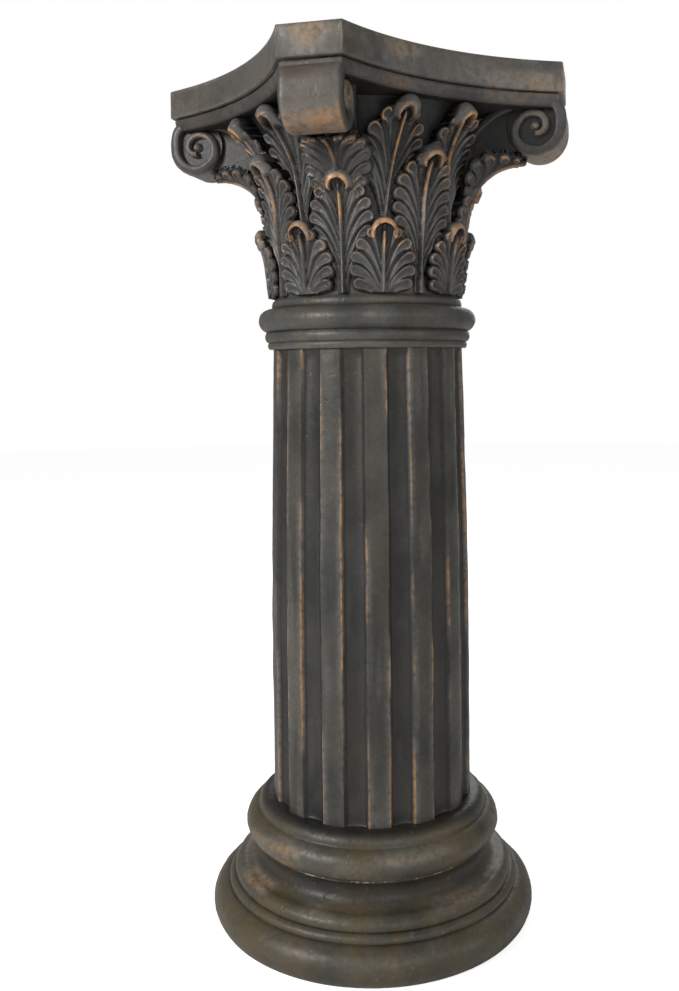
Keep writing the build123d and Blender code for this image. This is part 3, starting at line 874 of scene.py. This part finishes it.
    def build(self, name: str, neck: Neck) -> bpy.types.Object:
        """Skin the leaf inside its outline and wall its edge back into the bell.

        Args:
            name: Name of the piece.
            neck: The bell it stands on.

        Returns:
            The leaf on the side of the bell that faces +X.
        """
        wide = max(max(self.widths) * self.outer_side, self.hood_half_width) + 4.0
        columns = np.arange(-wide, wide + self.grid, self.grid)
        levels = np.arange(self.foot - 1.0, self.tip + 3.0, self.grid)
        u, v = np.meshgrid(columns, levels)
        outside = self.shape(u.ravel(), v.ravel())[1].reshape(u.shape)
        points, faces, border = contour_mesh(columns, levels, outside)
        u, v = points[:, 0], points[:, 1]
        relief, _, rub, lip, deep = self.shape(u, v)
        radius, height, out_r, out_z = self.carrier(v, neck)
        fold = self.cup * smooth_step(v, 30.0, 80.0) * (np.abs(u) / max(self.widths)) ** 2
        radius, height = radius - fold * out_r, height - fold * out_z
        wrap = self.wrap_radius + self.wrap_share * (radius - self.wrap_radius) if self.line else radius
        around = (u + self.lean_at(v)) / wrap
        rise = neck.heights.bell_foot + height - self.lip_sag * lip
        front = self.placed(radius + relief * out_r, around, rise + relief * out_z)
        edge = np.array(sorted(set(i for pair in border for i in pair)))
        if self.line:
            back = self.placed(radius - self.thickness * out_r, around, rise - self.thickness * out_z)[edge]
        else:
            back = self.placed(neck.bell_radius(v) - self.sunk, around, rise)[edge]
        place = {old: len(points) + new for new, old in enumerate(edge.tolist())}
        walls = [(a, b, place[b], place[a]) for a, b in border]
        piece = make_mesh(name, np.vstack([front, back]), faces + walls)
        blank = np.zeros(len(edge))
        # The walls back into the bell take painted shade.
        set_marks(piece, gild=np.append(rub, blank), deep=np.append(deep, blank + self.wall_shade))
        with editing(piece, "DESELECT"):
            bpy.ops.mesh.select_non_manifold()
            bpy.ops.mesh.fill()
        tidy_mesh(piece)
        return piece

    @staticmethod
    def placed(radius: np.ndarray, around: np.ndarray, height: np.ndarray) -> np.ndarray:
        """Places at radii, angles and heights."""
        return np.stack([radius * np.cos(around), radius * np.sin(around), height], -1)


def contour_mesh(columns: np.ndarray, levels: np.ndarray, outside: np.ndarray) -> tuple:
    """Mesh the part of a grid that lies inside an outline, with a smooth edge.

    Args:
        columns: Places across.
        levels: Places up.
        outside: Distance outside the outline at each grid point, rows by level.

    Returns:
        Points, faces, and the border's edges in order round each face.
    """
    number = {}
    points = []

    def point_at(here: tuple, there: tuple) -> int:
        """Number of a grid point, or of the outline's crossing between two of them."""
        key = (min(here, there), max(here, there))
        if key not in number:
            share = 0.0
            if here != there:
                near, far = outside[here], outside[there]
                share = min(max(near / (near - far), 0.04), 0.96)
            (j0, i0), (j1, i1) = here, there
            number[key] = len(points)
            points.append((
                columns[i0] + (columns[i1] - columns[i0]) * share,
                levels[j0] + (levels[j1] - levels[j0]) * share,
            ))
        return number[key]

    faces = []
    border = []
    within = outside < 0
    touched = within[:-1, :-1] | within[1:, :-1] | within[:-1, 1:] | within[1:, 1:]
    for j, i in np.argwhere(touched):
        ring = [(j, i), (j, i + 1), (j + 1, i + 1), (j + 1, i)]
        face = []
        cut = []
        for here, there in zip(ring, ring[1:] + ring[:1]):
            if within[here]:
                face.append(point_at(here, here))
            if within[here] != within[there]:
                face.append(point_at(here, there))
                cut.append((face[-1], within[here]))
        faces.append(tuple(face))
        if cut and not cut[0][1]:
            cut = cut[1:] + cut[:1]
        border += [(cut[k][0], cut[k + 1][0]) for k in range(0, len(cut), 2)]
    return np.array(points), faces, border


@dataclass
class Volute:
    """Rolled scroll under a corner of the slab, on a neck that grows out of the bell.

    Shrink, thinning and narrowing give the share of the radius, thickness and width at degrees of travel.
    """

    heights: Heights = Heights()
    reach: float = 206.4
    radius: float = 30.0
    rise: float = 13.6
    width: float = 59.6
    band: float = 11.0
    squareness: float = 3.0
    edge: float = 6.0
    inner_edge: float = 1.6
    neck_width: float = 36.0
    turns: float = 1.5
    eye_radius: float = 8.5
    run_steps: int = 49
    steps: int = 150
    shrink: tuple = ((0, 160, 240, 300, 360, 450, 540), (1.0, 1.0, 0.9, 0.7, 0.54, 0.44, 0.34))
    thinning: tuple = ((0, 200, 360, 540), (1.0, 0.9, 0.62, 0.5))
    narrowing: tuple = ((0, 250, 360, 540), (1.0, 0.93, 0.95, 1.0))

    def centre(self) -> tuple:
        """Middle of the scroll: radius and height."""
        return (self.reach - self.radius, self.heights.bell_top + self.rise - self.radius)

    def path(self) -> np.ndarray:
        """Middle line of the band from the bell round the scroll, with its width and thickness."""
        cx, cz = self.centre()
        start = np.array((106.0, self.heights.bell_top - 30.0))
        crown = np.array((cx, cz + self.radius - self.band / 2))
        t = np.linspace(0.0, 1.0, self.run_steps + 1)[:-1, None]
        one, two = start + (16.0, 22.0), crown - (36.0, 1.0)
        run = (1 - t) ** 3 * start + 3 * t * (1 - t) ** 2 * one + 3 * t ** 2 * (1 - t) * two + t ** 3 * crown
        rows = []
        for k, (x, z) in enumerate(run):
            rows.append((x, z, 0.6 + 0.4 * min(1.0, k / 40) ** 1.5, 0.75 + 0.25 * k / self.run_steps))
        for share in np.linspace(0.0, 1.0, self.steps):
            angle = math.pi / 2 - 2 * math.pi * self.turns * share
            travel = 360.0 * self.turns * share
            thick, wide = np.interp(travel, *self.thinning), np.interp(travel, *self.narrowing)
            outer = self.radius * np.interp(travel, *self.shrink)
            if 0.0 < angle < math.pi / 2:
                power = self.squareness
                outer /= (math.cos(angle) ** power + math.sin(angle) ** power) ** (1 / power)
            middle = outer - self.band * thick / 2
            rows.append((cx + middle * math.cos(angle), cz + middle * math.sin(angle), wide, thick))
        return np.array(rows)

    def section(self, width: float, thick: float) -> list[tuple]:
        """Section of the band with rounded edges: place across and place out from its middle line."""
        half, deep = width / 2, thick / 2
        edge, inner = min(self.edge, thick * 0.62), self.inner_edge
        turns = np.linspace(0.0, math.pi / 2, 7)
        side = [(half - edge + edge * math.sin(a), deep - edge + edge * math.cos(a)) for a in turns]
        side += [(half - inner + inner * math.cos(a), -deep + inner - inner * math.sin(a)) for a in turns[::3]]
        flat = [(y * (half - edge), deep) for y in np.linspace(-0.9, 0.9, 9)]
        under = [(y * (half - inner), -deep) for y in np.linspace(0.8, -0.8, 5)]
        return flat + side + under + [(-y, d) for y, d in side[::-1]]

    def band_piece(self) -> bpy.types.Object:
        """The rolled band, swept along its path."""
        path = self.path()
        flow = np.gradient(path[:, :2], axis=0)
        flow /= np.linalg.norm(flow, axis=1)[:, None]
        vertices = []
        for (x, z, wide, thick), (along, up) in zip(path, flow):
            for y, depth in self.section(self.width * wide, self.band * thick):
                vertices.append((x - up * depth, y, z + along * depth))
        count = len(vertices) // len(path)
        piece = make_mesh("scroll_band", np.array(vertices), ring_faces(len(path), count, capped=True))
        x, y, z = places_of(piece).T
        cx, cz = self.centre()
        y = np.abs(y)
        away = np.hypot(x - cx, z - cz)
        coil = smooth_step(away, 18.0, 15.0)
        low = smooth_step(z, cz + 2.0, cz - 22.0)
        edge = smooth_step(y, self.width / 2 - 9.0, self.width / 2 - 3.0)
        rim = smooth_step(away, self.radius - 3.0, self.radius - 0.5)
        # Rubbed copper and a painted highlight on the lower rim, the edges and the coil.
        rubbed = rim * (0.75 * low + 0.3 * edge) + 0.65 * coil * smooth_step(y, 20.0, 24.0)
        # Painted shade on the band's sides and on the part behind the scroll.
        side = smooth_step(y, 24.5, 28.0) * (0.5 - 0.2 * coil)
        behind = 0.5 * smooth_step(x, cx - 8.0, cx - 30.0)
        set_marks(piece, gild=np.clip(rubbed, 0.0, 1.0), deep=np.maximum(side, behind))
        tidy_mesh(piece)
        return piece

    def core_piece(self) -> bpy.types.Object:
        """Disc inside the scroll, narrower than the band, so that its turns stand proud."""
        cx, cz = self.centre()
        bpy.ops.mesh.primitive_cylinder_add(
            vertices=64, radius=(self.radius - 3.0) * MM, depth=(self.width - 15.0) * MM,
            location=(cx * MM, 0, cz * MM), rotation=(math.pi / 2, 0, 0),
        )
        piece = bpy.context.active_object
        bpy.ops.object.transform_apply(location=True, rotation=True, scale=True)
        # Painted shade on the disc between the turns.
        set_marks(piece, gild=0.0, deep=0.9)
        return piece

    def eye_piece(self) -> bpy.types.Object:
        """Rounded eye that stands out of the middle of both faces."""
        cx, cz = self.centre()
        bpy.ops.mesh.primitive_uv_sphere_add(
            segments=40, ring_count=24, radius=self.eye_radius * MM, location=(cx * MM, 0, cz * MM)
        )
        bpy.ops.transform.resize(value=(1.0, (self.width / 2 - 0.6) / self.eye_radius, 1.0))
        piece = bpy.context.active_object
        bpy.ops.object.transform_apply(location=True, rotation=True, scale=True)
        tip = smooth_step(np.abs(places_of(piece)[:, 1]), self.width / 2 - 4.0, self.width / 2 - 1.0)
        set_marks(piece, gild=0.7 * tip, deep=0.0)
        return piece

    def neck_piece(self) -> bpy.types.Object:
        """Web that carries the band from the bell."""
        cx, cz = self.centre()
        top = self.heights.bell_top
        ring = [(100.0, top - 84.0), (108.0, top - 74.0), (117.0, top - 62.0), (128.0, top - 53.0)]
        ring += [(140.0, top - 47.0), (153.0, top - 42.0), (cx - 13.0, cz - 20.0), (cx, cz)]
        ring += [(x, z) for x, z, _, _ in self.path()[:self.run_steps + 1:3]][::-1]
        half = self.neck_width / 2
        middle_x, middle_z = np.mean(np.array(ring), axis=0)
        vertices = []
        for y, pull in ((-half, 1.0), (-half + 2.5, 0.0), (half - 2.5, 0.0), (half, 1.0)):
            for x, z in ring:
                vertices.append((x + 0.015 * pull * (middle_x - x), y, z + 2.2 * pull * (z < middle_z)))
        piece = make_mesh("scroll_neck", np.array(vertices), ring_faces(4, len(ring), capped=True))
        # Painted shade on the web that carries the band.
        set_marks(piece, gild=0.0, deep=0.82)
        tidy_mesh(piece)
        return piece

    def build(self) -> bpy.types.Object:
        """Join the parts of one volute, facing +X."""
        parts = [self.band_piece(), self.core_piece(), self.eye_piece(), self.neck_piece()]
        return join_pieces(parts, "volute")


def turned_copies(piece: bpy.types.Object, angles: list[float], flip: bool = False) -> list:
    """Copies of a piece turned about the axis.

    Args:
        piece: The model piece, facing +X.
        angles: Angles in degrees.
        flip: Mirror the copies across their own middle.

    Returns:
        The copies.
    """
    found = []
    for angle in angles:
        mesh = piece.data.copy()
        if flip:
            mesh.transform(Matrix.Scale(-1, 4, (0, 1, 0)))
            mesh.flip_normals()
        mesh.transform(Matrix.Rotation(math.radians(angle), 4, "Z"))
        found.append(link_object(f"{piece.name}_copy", mesh))
    return found


@dataclass
class Capital:
    """Rows of leaves and the volutes round the bell."""

    neck: Neck = field(default_factory=Neck)
    lower: Leaf = field(default_factory=lambda: Leaf(
        tip=70.0, reach=118.0, ends=(8.0, 20.5, 33.0, 45.0, 55.0), widths=(29.5, 32.5, 32.5, 28.0, 19.0),
        stand=6.5, stand_start=-20.0, finger_rise=32.0, hood_half_width=13.0, hood_height=15.0,
        hood_bulge=8.0, hood_band=4.8, swing=34.0))
    corner: Leaf = field(default_factory=lambda: Leaf(
        tip=117.0, reach=122.0, ends=(45.0, 58.0, 71.0, 83.0, 94.0, 103.0),
        widths=(29.0, 32.0, 33.0, 31.0, 26.0, 18.5), stand=6.5, stand_start=24.0, finger_rise=40.0,
        hood_half_width=14.5, hood_band=10.0, swing=42.0))
    side: Leaf = field(default_factory=lambda: Leaf(
        tip=138.5, reach=131.0, ends=(54.0, 67.0, 80.0, 93.0, 105.0, 116.0, 124.5),
        widths=(28.0, 31.0, 33.0, 33.0, 31.0, 26.0, 18.5), stand=6.5, stand_start=24.0,
        finger_rise=40.0, hood_half_width=14.5, hood_band=10.0, swing=50.0))
    upper: Leaf = field(default_factory=lambda: Leaf(
        tip=178.5, reach=144.0, ends=(112.0, 125.0, 138.0, 150.0, 161.0), widths=(22.0, 26.0, 27.0, 24.0, 17.5),
        foot=40.0, stand=4.0, stand_start=40.0, finger_rise=42.0, outer_side=1.35, hood_half_width=13.5,
        hood_bulge=10.0, hood_band=11.0, lean=21.0, swing=56.0))
    fan: Leaf = field(default_factory=lambda: Leaf(
        tip=114.0, reach=0.0, ends=(28.0, 40.0, 52.0, 64.0, 76.0, 88.0, 98.0),
        widths=(22.0, 28.0, 32.0, 33.0, 30.0, 24.0, 17.0), finger_rise=36.0, hood_height=9.0,
        hood_bulge=0.0, relief=4.0, grid=0.95, cup=12.0, web=1.6, wall_shade=0.6, thickness=3.0,
        line=((96.0, 66.0), (102.5, 78.0), (107.0, 92.0), (112.0, 106.0), (121.0, 118.0), (134.0, 127.0),
              (149.0, 132.0), (162.0, 133.0), (176.0, 131.0))))
    volute: Volute = field(default_factory=Volute)
    leaf_angle: float = 22.5

    def build(self, noise: SolidNoise) -> list[bpy.types.Object]:
        """Model each form once, copy it round the bell and join each row."""
        sides = [90.0 * quarter for quarter in range(4)]
        corners = [side + 45.0 for side in sides]
        before, after = ([side + turn for side in sides] for turn in (-self.leaf_angle, self.leaf_angle))
        rows = (
            ("lower_leaves", self.lower.build("lower_leaf", self.neck), before + after, []),
            ("corner_leaves", self.corner.build("corner_leaf", self.neck), corners, []),
            ("side_leaves", self.side.build("side_leaf", self.neck), sides, []),
            ("upper_leaves", self.upper.build("upper_leaf", self.neck), before, after),
            ("fan_leaves", self.fan.build("fan_leaf", self.neck), corners, []),
            ("volutes", self.volute.build(), corners, []),
        )
        found = []
        for name, model, angles, mirrored in rows:
            row = join_pieces(turned_copies(model, angles) + turned_copies(model, mirrored, flip=True), name)
            bpy.data.objects.remove(model)
            # Painted shade from the bend of the surface, none on the volutes.
            found.append(age(row, noise, broad=0.4, fine=0.22, soften=1, bend_shade=0.0 if name == "volutes" else 0.5))
        return found


@dataclass(frozen=True)
class RubbedPaint:
    """Dark paint whose edges are rubbed brown with a painted highlight, and whose hollows take painted shade."""

    name: str
    paint: tuple
    light: tuple
    tint: tuple = (0.075, 0.062, 0.04)
    tint_amount: float = 0.5
    rub_colour: tuple = (0.32, 0.2, 0.1)
    rub_amount: float = 1.0
    roughness: float = 0.42
    chips: float = 0.0


FINISHES = {
    Region.FOOT: RubbedPaint("foot_paint", (0.041, 0.04, 0.03), (0.082, 0.074, 0.051), (0.095, 0.068, 0.032),
                             tint_amount=0.8, rub_amount=0.85, chips=0.06),
    Region.SHAFT: RubbedPaint("shaft_paint", (0.025, 0.026, 0.025), (0.062, 0.06, 0.051), (0.075, 0.057, 0.033),
                              rub_colour=(0.42, 0.24, 0.11)),
    Region.NECK: RubbedPaint("neck_paint", (0.04, 0.041, 0.038), (0.094, 0.092, 0.08), (0.11, 0.085, 0.052),
                             rub_amount=0.9),
    Region.CAPITAL: RubbedPaint("capital_paint", (0.03, 0.031, 0.032), (0.088, 0.088, 0.085), tint_amount=0.2,
                                rub_colour=(0.6, 0.32, 0.14), roughness=0.36),
    Region.VOLUTE: RubbedPaint("volute_paint", (0.05, 0.05, 0.047), (0.104, 0.1, 0.092), (0.12, 0.086, 0.052),
                               rub_colour=(0.42, 0.23, 0.105), rub_amount=0.95),
    Region.SLAB: RubbedPaint("slab_paint", (0.049, 0.05, 0.046), (0.088, 0.085, 0.075), (0.115, 0.084, 0.05),
                             tint_amount=0.45, rub_colour=(0.3, 0.185, 0.095), rub_amount=0.95),
}


class Graph:
    """Short ways to add nodes to a node tree."""

    def __init__(self, tree: bpy.types.NodeTree) -> None:
        """Take the tree to add to."""
        self.nodes, self.links = tree.nodes, tree.links

    def feed(self, node: bpy.types.Node, inputs: dict) -> None:
        """Link inputs of a node to the sockets given for them, or set them to the values given."""
        for key, value in inputs.items():
            if isinstance(value, bpy.types.NodeSocket):
                self.links.new(value, node.inputs[key])
            else:
                node.inputs[key].default_value = value

    def add(self, kind: str, out: str | int, inputs: dict, **settings: str) -> bpy.types.NodeSocket:
        """Add a node.

        Args:
            kind: Its type, without the prefix.
            out: The output that is wanted.
            inputs: What goes into its inputs, by their name or number.
            settings: Its other settings.

        Returns:
            The output.
        """
        node = self.nodes.new(f"ShaderNode{kind}")
        for key, value in settings.items():
            setattr(node, key, value)
        self.feed(node, inputs)
        return node.outputs[out]

    def maths(self, kind: str, one: object, two: object) -> bpy.types.NodeSocket:
        """Combine two values."""
        return self.add("Math", 0, {0: one, 1: two}, operation=kind)

    def ramp(self, value: object, low: float, high: float, start: float = 0.0, end: float = 1.0) -> object:
        """Rise softly from start at low to end at high."""
        limits = {"Value": value, "From Min": low, "From Max": high, "To Min": start, "To Max": end}
        return self.add("MapRange", "Result", limits, interpolation_type="SMOOTHSTEP")

    def blend(self, factor: object, one: object, two: object, kind: str = "MIX") -> bpy.types.NodeSocket:
        """Blend two colours."""
        return self.add("Mix", 2, {"Factor": factor, 6: one, 7: two}, data_type="RGBA", blend_type=kind)

    def noise(self, scale: float, detail: float, stretch: tuple = (), rough: float = 0.55) -> object:
        """Noise in the piece's own space, if wanted stretched."""
        place = self.add("TexCoord", "Object", {})
        if stretch:
            place = self.add("Mapping", "Vector", {"Vector": place, "Scale": stretch})
        return self.add(
            "TexNoise", "Fac", {"Vector": place, "Scale": scale, "Detail": detail, "Roughness": rough}
        )

    def to_camera(self, hidden: float, seen: float) -> bpy.types.NodeSocket:
        """One value for rays from the camera and another for all others."""
        ray = self.add("LightPath", "Is Camera Ray", {})
        return self.add("MapRange", "Result", {"Value": ray, "To Min": hidden, "To Max": seen})


class PaintShop:
    """Makes the materials from one shared node group."""

    numbers = ("Rub", "Hollow", "Chip", "Tint Amount", "Rub Amount", "Chip Amount", "Base Roughness")
    colours = ("Paint", "Light Paint", "Tint", "Rub Colour")
    outputs = (("Colour", "Color"), ("Roughness", "Float"), ("Height", "Float"))
    # Near-black painted shade for hollows and deep marks.
    painted_shade_colour = (0.009, 0.009, 0.01, 1.0)
    # Light grey painted highlight on rubbed places where no copper shows.
    painted_highlight_colour = (0.2, 0.185, 0.165, 1.0)
    plaster_colour = (0.55, 0.54, 0.5, 1.0)

    def __init__(self) -> None:
        """Build the shared group once."""
        self.paint_group = bpy.data.node_groups.new("rubbed_paint", "ShaderNodeTree")
        sockets = [(name, "Float", "INPUT") for name in self.numbers]
        sockets += [(name, "Color", "INPUT") for name in self.colours]
        sockets += [(name, kind, "OUTPUT") for name, kind in self.outputs]
        for name, kind, way in sockets:
            self.paint_group.interface.new_socket(name=name, in_out=way, socket_type=f"NodeSocket{kind}")
        self.fill_group(Graph(self.paint_group))

    def fill_group(self, graph: Graph) -> None:
        """Mix paint, tint, rubbed edges of copper and painted highlight, painted shade in hollows, and chips.

        Args:
            graph: The empty group, with its sockets.
        """
        given = graph.nodes.new("NodeGroupInput").outputs
        cloudy = graph.ramp(graph.noise(14.0, 6.0), 0.36, 0.66)
        streaky = graph.ramp(graph.noise(30.0, 5.0, (1.0, 1.0, 0.22)), 0.35, 0.7)
        grain = graph.noise(420.0, 4.0, rough=0.65)
        colour = graph.blend(cloudy, given["Paint"], given["Light Paint"])
        colour = graph.blend(graph.maths("MULTIPLY", streaky, given["Tint Amount"]), colour, given["Tint"])
        broken = graph.ramp(graph.noise(150.0, 4.0), 0.3, 0.6, 0.35, 1.0)
        rub = graph.maths("MULTIPLY", given["Rub"], graph.maths("MULTIPLY", broken, given["Rub Amount"]))
        patch = graph.ramp(graph.noise(13.0, 4.0), 0.34, 0.6)
        # Rubbed places turn copper where the patch lies, elsewhere the grey painted highlight.
        copper = graph.maths("MULTIPLY", patch, graph.ramp(given["Rub"], 0.4, 0.85))
        colour = graph.blend(rub, colour, graph.blend(copper, self.painted_highlight_colour, given["Rub Colour"]))
        # Painted shade: hollows and deep marks darkened toward near black.
        colour = graph.blend(graph.maths("MULTIPLY", given["Hollow"], 0.95), colour, self.painted_shade_colour)
        colour = graph.blend(1.0, colour, graph.ramp(graph.noise(260.0, 4.0), 0.3, 0.7, 0.9, 1.1), "MULTIPLY")
        chip = graph.maths("MULTIPLY", graph.ramp(graph.noise(160.0, 3.0), 0.66, 0.7), given["Chip Amount"])
        flaked = graph.maths("MULTIPLY", graph.ramp(graph.noise(240.0, 3.0), 0.47, 0.55), given["Chip"])
        pits = graph.maths("MULTIPLY", graph.ramp(graph.noise(95.0, 3.0), 0.25, 0.45), 0.65)
        graph.feed(graph.nodes.new("NodeGroupOutput"), {
            "Colour": graph.blend(graph.maths("MAXIMUM", chip, flaked), colour, self.plaster_colour),
            "Roughness": graph.maths("ADD", given["Base Roughness"], graph.ramp(grain, 0.3, 0.7, -0.06, 0.08)),
            "Height": graph.maths("ADD", graph.maths("MULTIPLY", grain, 0.35), pits),
        })

    def material(self, finish: RubbedPaint) -> bpy.types.Material:
        """Material of one region.

        Args:
            finish: Its colours and amounts.

        Returns:
            The material.
        """
        made = bpy.data.materials.new(finish.name)
        made.use_nodes = True
        graph = Graph(made.node_tree)
        group = graph.nodes.new("ShaderNodeGroup")
        group.node_tree = self.paint_group
        graph.feed(group, {
            key: graph.add("Attribute", "Fac", {}, attribute_name=key.lower()) for key in ("Rub", "Hollow", "Chip")
        })
        graph.feed(group, {
            "Paint": (*finish.paint, 1.0), "Light Paint": (*finish.light, 1.0), "Tint": (*finish.tint, 1.0),
            "Tint Amount": finish.tint_amount, "Rub Colour": (*finish.rub_colour, 1.0),
            "Rub Amount": finish.rub_amount, "Chip Amount": finish.chips, "Base Roughness": finish.roughness,
        })
        relief = {"Strength": 0.5, "Distance": 0.0008, "Height": group.outputs["Height"]}
        graph.feed(graph.nodes["Principled BSDF"], {
            "Base Color": group.outputs["Colour"], "Roughness": group.outputs["Roughness"],
            "Specular IOR Level": 0.4, "Normal": graph.add("Bump", "Normal", relief),
        })
        return made


@dataclass(frozen=True)
class Lamp:
    """Square soft lamp, with its turn in degrees to the right of the camera, metres and watts."""

    name: str
    turn: float
    height: float
    away: float
    size: float
    power: float


LAMPS = (
    Lamp("key", -50.0, 1.4, 2.3, 0.75, 42.0),
    Lamp("fill", 62.0, 1.3, 2.8, 1.2, 9.0),
    Lamp("front", 16.0, 1.3, 2.8, 1.0, 12.5),
    Lamp("behind", 170.0, 1.5, 3.0, 1.8, 22.0),
)


@dataclass
class Studio:
    """Camera, light and floor. Lengths are in millimetres and angles in radians, apart from the turn."""

    picture_height: int = 991
    focal_pixels: float = 1011.19
    distance: float = 1056.23
    eye_height: float = 562.30
    pitch: float = 0.02199
    roll: float = -0.010504
    turn: float = -135.0 + 13.372
    shift_pixels: tuple = (28.302, -110.387)
    sensor_width: float = 36.0
    lamp_aim: tuple = (0.0, 0.0, 0.45)

    def place_camera(self) -> None:
        """Put the camera where the photograph was taken."""
        angle = math.radians(self.turn)
        place = Vector((self.distance * math.cos(angle), self.distance * math.sin(angle), self.eye_height)) * MM
        ahead = Vector((-math.cos(angle), -math.sin(angle), 0.0))
        right = ahead.cross(Vector((0, 0, 1)))
        ahead = (ahead * math.cos(self.pitch) - Vector((0, 0, 1)) * math.sin(self.pitch)).normalized()
        up = right.cross(ahead)
        side = right * math.cos(self.roll) + up * math.sin(self.roll)
        over = up * math.cos(self.roll) - right * math.sin(self.roll)
        lens = bpy.data.cameras.new("camera")
        lens.sensor_width = self.sensor_width
        lens.lens = self.focal_pixels / self.picture_height * self.sensor_width
        lens.shift_x = -self.shift_pixels[0] / self.picture_height
        lens.shift_y = self.shift_pixels[1] / self.picture_height
        camera = link_object("camera", lens)
        camera.matrix_world = Matrix((
            (side.x, over.x, -ahead.x, place.x),
            (side.y, over.y, -ahead.y, place.y),
            (side.z, over.z, -ahead.z, place.z),
            (0, 0, 0, 1),
        ))
        bpy.context.scene.camera = camera

    def light(self) -> None:
        """Soft lamps that face the column, and a pale world."""
        for lamp in LAMPS:
            angle = math.radians(self.turn + lamp.turn)
            data = bpy.data.lights.new(lamp.name, "AREA")
            data.shape, data.size, data.energy = "SQUARE", lamp.size, lamp.power
            made = link_object(lamp.name, data)
            made.location = (lamp.away * math.cos(angle), lamp.away * math.sin(angle), lamp.height)
            made.rotation_euler = (Vector(self.lamp_aim) - made.location).to_track_quat("-Z", "Y").to_euler()
        world = bpy.data.worlds.new("world")
        bpy.context.scene.world = world
        world.use_nodes = True
        graph = Graph(world.node_tree)
        graph.feed(graph.nodes["Background"], {"Color": (1, 1, 1, 1), "Strength": graph.to_camera(0.25, 1.0)})

    def floor(self) -> bpy.types.Object:
        """Pale floor that keeps the column's shadow."""
        bpy.ops.mesh.primitive_circle_add(vertices=96, radius=6.0, fill_type="NGON", location=(0, 0, 0))
        piece = bpy.context.active_object
        piece.name = "floor"
        paint = bpy.data.materials.new("floor_paint")
        paint.use_nodes = True
        graph = Graph(paint.node_tree)
        graph.feed(graph.nodes["Principled BSDF"], {
            "Base Color": (0.9, 0.9, 0.9, 1), "Roughness": 0.9, "Specular IOR Level": 0.0,
            "Emission Color": (1, 1, 1, 1), "Emission Strength": graph.to_camera(0.0, 0.74),
        })
        piece.data.materials.append(paint)
        return piece


def dress(piece: bpy.types.Object, paint: bpy.types.Material) -> None:
    """Give a piece its paint and tie it to the frame."""
    piece.data.materials.clear()
    piece.data.materials.append(paint)
    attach(piece, BODY)
    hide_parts(NODE)
    log.info("%s: %d faces", piece.name, len(piece.data.polygons))


def main() -> None:
    """Build the pedestal round its frame."""
    logging.basicConfig(level=logging.INFO, format="%(message)s")
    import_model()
    bpy.ops.object.select_all(action="DESELECT")
    bpy.context.scene.view_settings.view_transform = "Standard"
    noise = SolidNoise(7)
    shop = PaintShop()
    paints = {region: shop.material(finish) for region, finish in FINISHES.items()}
    neck = Neck()
    dress(Foot().build(noise), paints[Region.FOOT])
    dress(Shaft().build(noise), paints[Region.SHAFT])
    dress(neck.build(noise), paints[Region.NECK])
    for row in Capital(neck=neck).build(noise):
        dress(row, paints[Region.VOLUTE if row.name == "volutes" else Region.CAPITAL])
    dress(Slab().build(noise), paints[Region.SLAB])
    studio = Studio()
    studio.place_camera()
    studio.light()
    studio.floor()
    bpy.context.view_layer.update()


if __name__ == "__main__":
    main()
